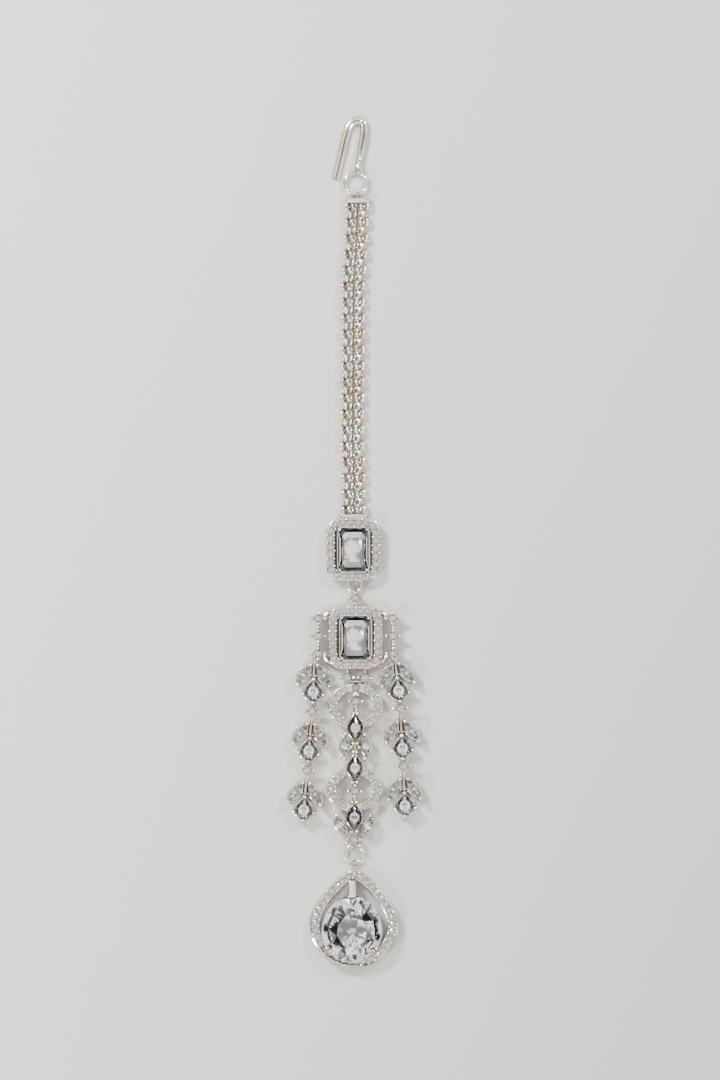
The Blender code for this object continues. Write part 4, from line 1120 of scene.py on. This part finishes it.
@add_operator
class TIKKA_OT_centre(bpy.types.Operator):
    """The centre panel: two hoops of pave, three marquises, four leaves and their stones"""
    bl_idname = "tikka.centre"
    bl_label = "Centre panel"

    def execute(self, context):
        offset = base_offset()
        unit = Unit(offset + Vector((0.12 * MM, -6.45 * MM)), math.radians(-0.7))
        pieces = []
        spots = []
        pave = []
        for number, y in ((1, -6.54), (2, -22.34)):
            middle_x = unit.place(0.0, y * MM).x
            outer = moved(ellipse_outline(5.2 * MM, 4.4 * MM, 56), 0.0, y * MM)
            inner = moved(ellipse_outline(3.55 * MM, 2.75 * MM, 56), 0.0, y * MM)
            track = moved(ellipse_outline(4.38 * MM, 3.58 * MM, 56), 0.0, y * MM)
            pieces.append(band("hoop", unit.outline(outer), unit.outline(inner), 0.7 * MM, PLATE_TOP))
            stones, beads = pave_row("hoop", unit.outline(track), PAVE_HEIGHT, 1.42 * MM,
                                     lambda spot: abs(spot.x - middle_x) > 1.15 * MM)
            pieces.append(beads)
            pave.append(stones)
        hoops = join("hoop_pave_stones", pave)
        finish_stone(hoops, "hoop_pave_stones", pave_material())
        for number, y in ((1, -10.64), (2, -18.24), (3, -27.64)):
            line = unit.outline(moved(marquise_outline(2.75 * MM, 4.7 * MM, 20), 0.0, y * MM))
            pieces.append(bezel("marquise_seat", line, SEAT_RIM, 0.5 * MM, SEAT_TOP, SEAT_EDGE))
            gem = cut_stone("marquise", grown(line, 0.1 * MM, 2), GIRDLE, 0.8 * MM, 0.45 * MM,
                            0.55, 0.82, 10)
            name = "centre_marquise_" + str(number)
            finish_stone(gem, name + "_gem", stone_material("leaf_clear"), [name])
        for group, y, x, turn in (("upper", -14.14, 2.05, 0.07), ("lower", -29.24, 2.65, -0.52)):
            for side, label in ((-1.0, "left"), (1.0, "right")):
                line = moved(marquise_outline(1.6 * MM, 3.9 * MM, 20), side * x * MM, y * MM, side * turn)
                line = unit.outline(line)
                pieces.append(bezel("leaf_seat", line, SEAT_RIM, SEAT_FOOT, SEAT_TOP, SEAT_EDGE))
                gem = cut_stone("leaf", grown(line, 0.06 * MM, 2), GIRDLE, 0.7 * MM, 0.4 * MM,
                                0.6, 0.84, 10)
                name = "centre_leaf_" + group + "_" + label
                finish_stone(gem, name + "_gem", stone_material("leaf_clear"), [name])
        singles = [(-1.68, -1.12), (1.68, -1.12), (0.0, -2.99), (0.0, -5.57), (0.0, -22.64), (0.0, -31.89)]
        axes = [SIDES, SIDES, ((0, -1),), SIDES + ((0, -1),), CROSS, SIDES]
        add_small_stones(pieces, spots, unit, [(x * MM, y * MM) for x, y in singles], axes)
        small_stone_piece("centre_round_stones", spots)
        beads = [(-0.32, -4.3), (0.36, -4.3), (-0.4, -7.9), (0.34, -7.9), (-0.4, -13.6), (0.4, -13.6),
                 (-0.8, -14.35), (0.8, -14.35), (-0.3, -15.2), (0.3, -15.2), (-0.4, -21.0), (0.4, -21.0),
                 (-0.5, -24.8), (0.42, -24.8), (-1.9, -11.7), (1.75, -11.9), (-2.1, -16.5), (1.9, -16.5),
                 (-3.5, -27.3), (3.0, -27.3), (-0.55, -30.5), (0.45, -30.4), (-1.5, -32.6), (1.1, -33.0)]
        model = bead_model("bead", BEAD_WIDTH, 0.85, 12, 8)
        places = [unit.place(x * MM, y * MM) for x, y in beads]
        pieces += copies(model, [at(p.x, p.y, 2.45 * MM) for p in places])
        for x, top, bottom in ((0.0, -2.6, -33.0), (-1.68, 0.5, -3.0), (1.68, 0.5, -3.0)):
            pieces.append(strut("spine", unit, (x, top), (x, bottom), 1.05 * MM, 0.5 * MM))
        for y, x in ((-14.14, 2.0), (-28.8, 2.8), (-1.9, 1.6)):
            pieces.append(strut("bar", unit, (-x, y), (x, y), 1.0 * MM, 0.42 * MM))
        pieces.append(upright_eye(1.5 * MM, 0.34 * MM, (*unit.place(0.0, -33.25 * MM), EYE_HEIGHT)))
        panel = join("centre_panel", pieces)
        finish(panel, "centre_panel", metal_material("plated_panel", 1.0), ["centre_frame"],
               40.0)
        return {"FINISHED"}


@add_operator
class TIKKA_OT_drop(bpy.types.Operator):
    """The large pear stone in its halo"""
    bl_idname = "tikka.drop"
    bl_label = "Pear drop"

    def execute(self, context):
        low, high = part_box("drop_frame")
        stone_low, stone_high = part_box("drop_stone")
        centre_x = (low.x + high.x) / 2.0
        tip = low.y + 18.65 * MM
        unit = Unit((centre_x, tip), 0.0)
        outer = pear_outline(16.5 * MM, 18.65 * MM, 64, 1.7, 0.85)
        track = moved(pear_outline(14.75 * MM, 16.9 * MM, 64, 1.6, 0.82), 0.0, -0.87 * MM)
        inner = moved(pear_outline(12.9 * MM, 14.9 * MM, 64, 1.5, 0.8), 0.0, -1.9 * MM)
        pieces = [band("halo", unit.outline(outer), unit.outline(inner), 0.9 * MM, PLATE_TOP)]
        rim = pear_outline(16.9 * MM, 19.0 * MM, 64, 1.7, 0.85)
        rim_inner = moved(pear_outline(16.2 * MM, 18.3 * MM, 64, 1.7, 0.85), 0.0, -0.35 * MM)
        pieces.append(band("rim", unit.outline(moved(rim, 0.0, 0.15 * MM)), unit.outline(rim_inner),
                           0.2 * MM, 0.95 * MM))
        stones, beads = pave_row("drop", unit.outline(track), PAVE_HEIGHT, 1.38 * MM)
        pieces.append(beads)
        finish_stone(stones, "drop_pave_stones", pave_material())
        gem_line = pear_outline(11.5 * MM, 13.1 * MM, 32, 2.0, 0.65)
        stone_unit = Unit(((stone_low.x + stone_high.x) / 2.0, stone_high.y), 0.0)
        gallery = stone_unit.outline(grown(gem_line, -0.9 * MM, 2))
        inside = stone_unit.outline(grown(gem_line, -1.7 * MM, 2))
        pieces.append(band("gallery", gallery, inside, 0.3 * MM, 1.5 * MM))
        gem = cut_stone("drop", stone_unit.outline(gem_line), 2.85 * MM, 2.2 * MM, 2.2 * MM, 0.5, 0.78, 8)
        finish_stone(gem, "drop_gem", stone_material("drop_clear", (0.95, 0.93, 0.99), 250.0),
                     ["drop_stone"])
        for x, y in ((-4.3, -10.9), (4.3, -10.9)):
            start = stone_unit.place(x * 1.12 * MM, y * 1.03 * MM)
            end = stone_unit.place(x * 0.93 * MM, y * 0.98 * MM)
            pieces += claw([(*start, 1.8 * MM), (*start, 2.9 * MM), (*end, 3.4 * MM)], 0.24 * MM)
        line = [(-0.62, 2.5), (-0.95, -0.75), (-0.6, -1.05), (0.6, -1.05), (0.95, -0.75), (0.62, 2.5)]
        line = stone_unit.outline([(x * MM, y * MM) for x, y in line])
        prong = outline_solid("prong", line, 1.7 * MM, 3.5 * MM, edge=0.3 * MM, segments=3)
        finish(prong, "drop_top_prong", metal_material("plated_warm", 1.0),
               smooth=40.0)
        spots = []
        for side in (-1.0, 1.0):
            for x, y in ((4.1, -11.0), (4.75, -10.4), (3.3, -11.5)):
                spots.append(tuple(stone_unit.place(side * x * MM, y * MM)))
        pieces.append(bead_field("prong_beads", spots, 0.85 * MM, 3.35 * MM))
        eye_place = (centre_x, high.y - 0.86 * MM, EYE_HEIGHT)
        pieces.append(upright_eye(1.7 * MM, 0.36 * MM, eye_place))
        bail = [(centre_x, high.y - 1.5 * MM, 1.0 * MM), (centre_x, tip - 0.6 * MM, 1.3 * MM)]
        pieces.append(wire("bail", bail, 0.4 * MM, 3, smooth=False))
        halo = join("drop_halo", pieces)
        finish(halo, "drop_halo", metal_material("plated_halo", 1.0), ["drop_frame"],
               40.0)
        return {"FINISHED"}


@add_operator
class TIKKA_OT_stage(bpy.types.Operator):
    """Floor with a painted light falloff, soft lights and the camera"""
    bl_idname = "tikka.stage"
    bl_label = "Stage"

    def execute(self, context):
        settings = context.scene.tikka_stage
        fresh()
        bpy.ops.mesh.primitive_plane_add(size=2.0, location=(0.0, 0.0, 0.0))
        floor = settle(active("floor"))
        material = bpy.data.materials.new("floor_paint")
        material.use_nodes = True
        nodes, links = material.node_tree.nodes, material.node_tree.links
        shader = nodes["Principled BSDF"]
        shader.inputs["Roughness"].default_value = 0.75
        place = nodes.new("ShaderNodeTexCoord")
        split = nodes.new("ShaderNodeSeparateXYZ")
        links.new(place.outputs["Object"], split.inputs["Vector"])
        # Painted shade: the floor colour darkens to 0.82 of itself towards +X, away from the key light at
        # the upper left.
        painted_falloff = nodes.new("ShaderNodeMapRange")
        painted_falloff.inputs["From Min"].default_value = -0.07
        painted_falloff.inputs["From Max"].default_value = 0.09
        links.new(split.outputs["X"], painted_falloff.inputs["Value"])
        mix = nodes.new("ShaderNodeMix")
        mix.data_type = "RGBA"
        mix.inputs["A"].default_value = (*settings.floor, 1.0)
        mix.inputs["B"].default_value = tuple(c * 0.82 for c in settings.floor) + (1.0,)
        links.new(painted_falloff.outputs["Result"], mix.inputs["Factor"])
        links.new(mix.outputs["Result"], shader.inputs["Base Color"])
        floor.data.materials.append(material)
        world = bpy.data.worlds.new("studio")
        world.use_nodes = True
        sky, wires = world.node_tree.nodes, world.node_tree.links
        place = sky.new("ShaderNodeTexCoord")
        split = sky.new("ShaderNodeSeparateXYZ")
        wires.new(place.outputs["Generated"], split.inputs["Vector"])
        cells = sky.new("ShaderNodeTexVoronoi")
        cells.inputs["Scale"].default_value = 3.4
        wires.new(place.outputs["Generated"], cells.inputs["Vector"])
        shade = sky.new("ShaderNodeSeparateColor")
        wires.new(cells.outputs["Color"], shade.inputs["Color"])
        panels = sky.new("ShaderNodeMapRange")
        panels.inputs["From Min"].default_value = 0.25
        panels.inputs["From Max"].default_value = 0.62
        panels.inputs["To Min"].default_value = 0.15
        panels.inputs["To Max"].default_value = 2.15
        wires.new(shade.outputs["Red"], panels.inputs["Value"])
        rise = sky.new("ShaderNodeMapRange")
        rise.inputs["From Min"].default_value = 0.05
        rise.inputs["From Max"].default_value = 0.7
        rise.inputs["To Min"].default_value = 0.12
        rise.inputs["To Max"].default_value = 1.0
        wires.new(split.outputs["Z"], rise.inputs["Value"])
        strength = sky.new("ShaderNodeMath")
        strength.operation = "MULTIPLY"
        wires.new(panels.outputs["Result"], strength.inputs[0])
        wires.new(rise.outputs["Result"], strength.inputs[1])
        sky["Background"].inputs["Color"].default_value = (1.0, 0.99, 0.98, 1.0)
        wires.new(strength.outputs[0], sky["Background"].inputs["Strength"])
        context.scene.world = world
        for name, place, size, power in (
                ("key", (-0.30, 0.32, 0.42), 0.11, 6.6), ("fill", (0.45, -0.10, 0.40), 0.30, 0.5),
                ("sparkle_left", (-0.25, -0.22, 0.30), 0.05, 1.5),
                ("sparkle_right", (0.22, 0.25, 0.32), 0.05, 1.5)):
            fresh()
            bpy.ops.object.light_add(type="AREA", location=place)
            lamp = active(name)
            lamp.data.size = size
            lamp.data.energy = power * settings.key_power
            lamp.data.color = (1.0, 0.985, 0.96)
            lamp.rotation_euler = (-Vector(place)).to_track_quat("-Z", "Y").to_euler()
        fresh()
        bpy.ops.object.camera_add(location=(1.045 * MM, 0.247 * MM, CAMERA_HEIGHT),
                                  rotation=(0.0, 0.0, 0.0))
        camera = active("camera")
        camera.data.sensor_fit = "VERTICAL"
        camera.data.sensor_height = SENSOR_HEIGHT
        camera.data.lens = SENSOR_HEIGHT * (CAMERA_HEIGHT - MIDDLE_HEIGHT) / FRAME_HEIGHT
        context.scene.camera = camera
        return {"FINISHED"}


class TIKKA_PT_panel(bpy.types.Panel):
    """Buttons for every piece of the ornament"""
    bl_idname = "TIKKA_PT_panel"
    bl_label = "Maang tikka"
    bl_space_type = "VIEW_3D"
    bl_region_type = "UI"
    bl_category = "Maang tikka"

    def draw(self, context):
        for group in ("tikka_metal", "tikka_stone", "tikka_chain", "tikka_stage"):
            settings = getattr(context.scene, group)
            box = self.layout.box()
            for name in settings.__annotations__:
                box.prop(settings, name)
        for cls in OPERATORS:
            self.layout.operator(cls.bl_idname)


GROUPS = {"tikka_metal": TikkaMetal, "tikka_stone": TikkaStone,
          "tikka_chain": TikkaChain, "tikka_stage": TikkaStage}


def register():
    """Register the settings, operators and panel."""
    for name, cls in GROUPS.items():
        bpy.utils.register_class(cls)
        setattr(bpy.types.Scene, name, bpy.props.PointerProperty(type=cls))
    for cls in OPERATORS:
        bpy.utils.register_class(cls)
    bpy.utils.register_class(TIKKA_PT_panel)


def unregister():
    """Remove the panel, operators and settings."""
    bpy.utils.unregister_class(TIKKA_PT_panel)
    for cls in reversed(OPERATORS):
        bpy.utils.unregister_class(cls)
    for name, cls in GROUPS.items():
        delattr(bpy.types.Scene, name)
        bpy.utils.unregister_class(cls)


def main():
    """Register the add-on and build every piece in order."""
    register()
    bpy.ops.tikka.hook()
    bpy.ops.tikka.chain()
    bpy.ops.tikka.plaques()
    bpy.ops.tikka.rings()
    bpy.ops.tikka.flowers()
    bpy.ops.tikka.centre()
    bpy.ops.tikka.drop()
    bpy.ops.tikka.stage()


if __name__ == "__main__":
    main()
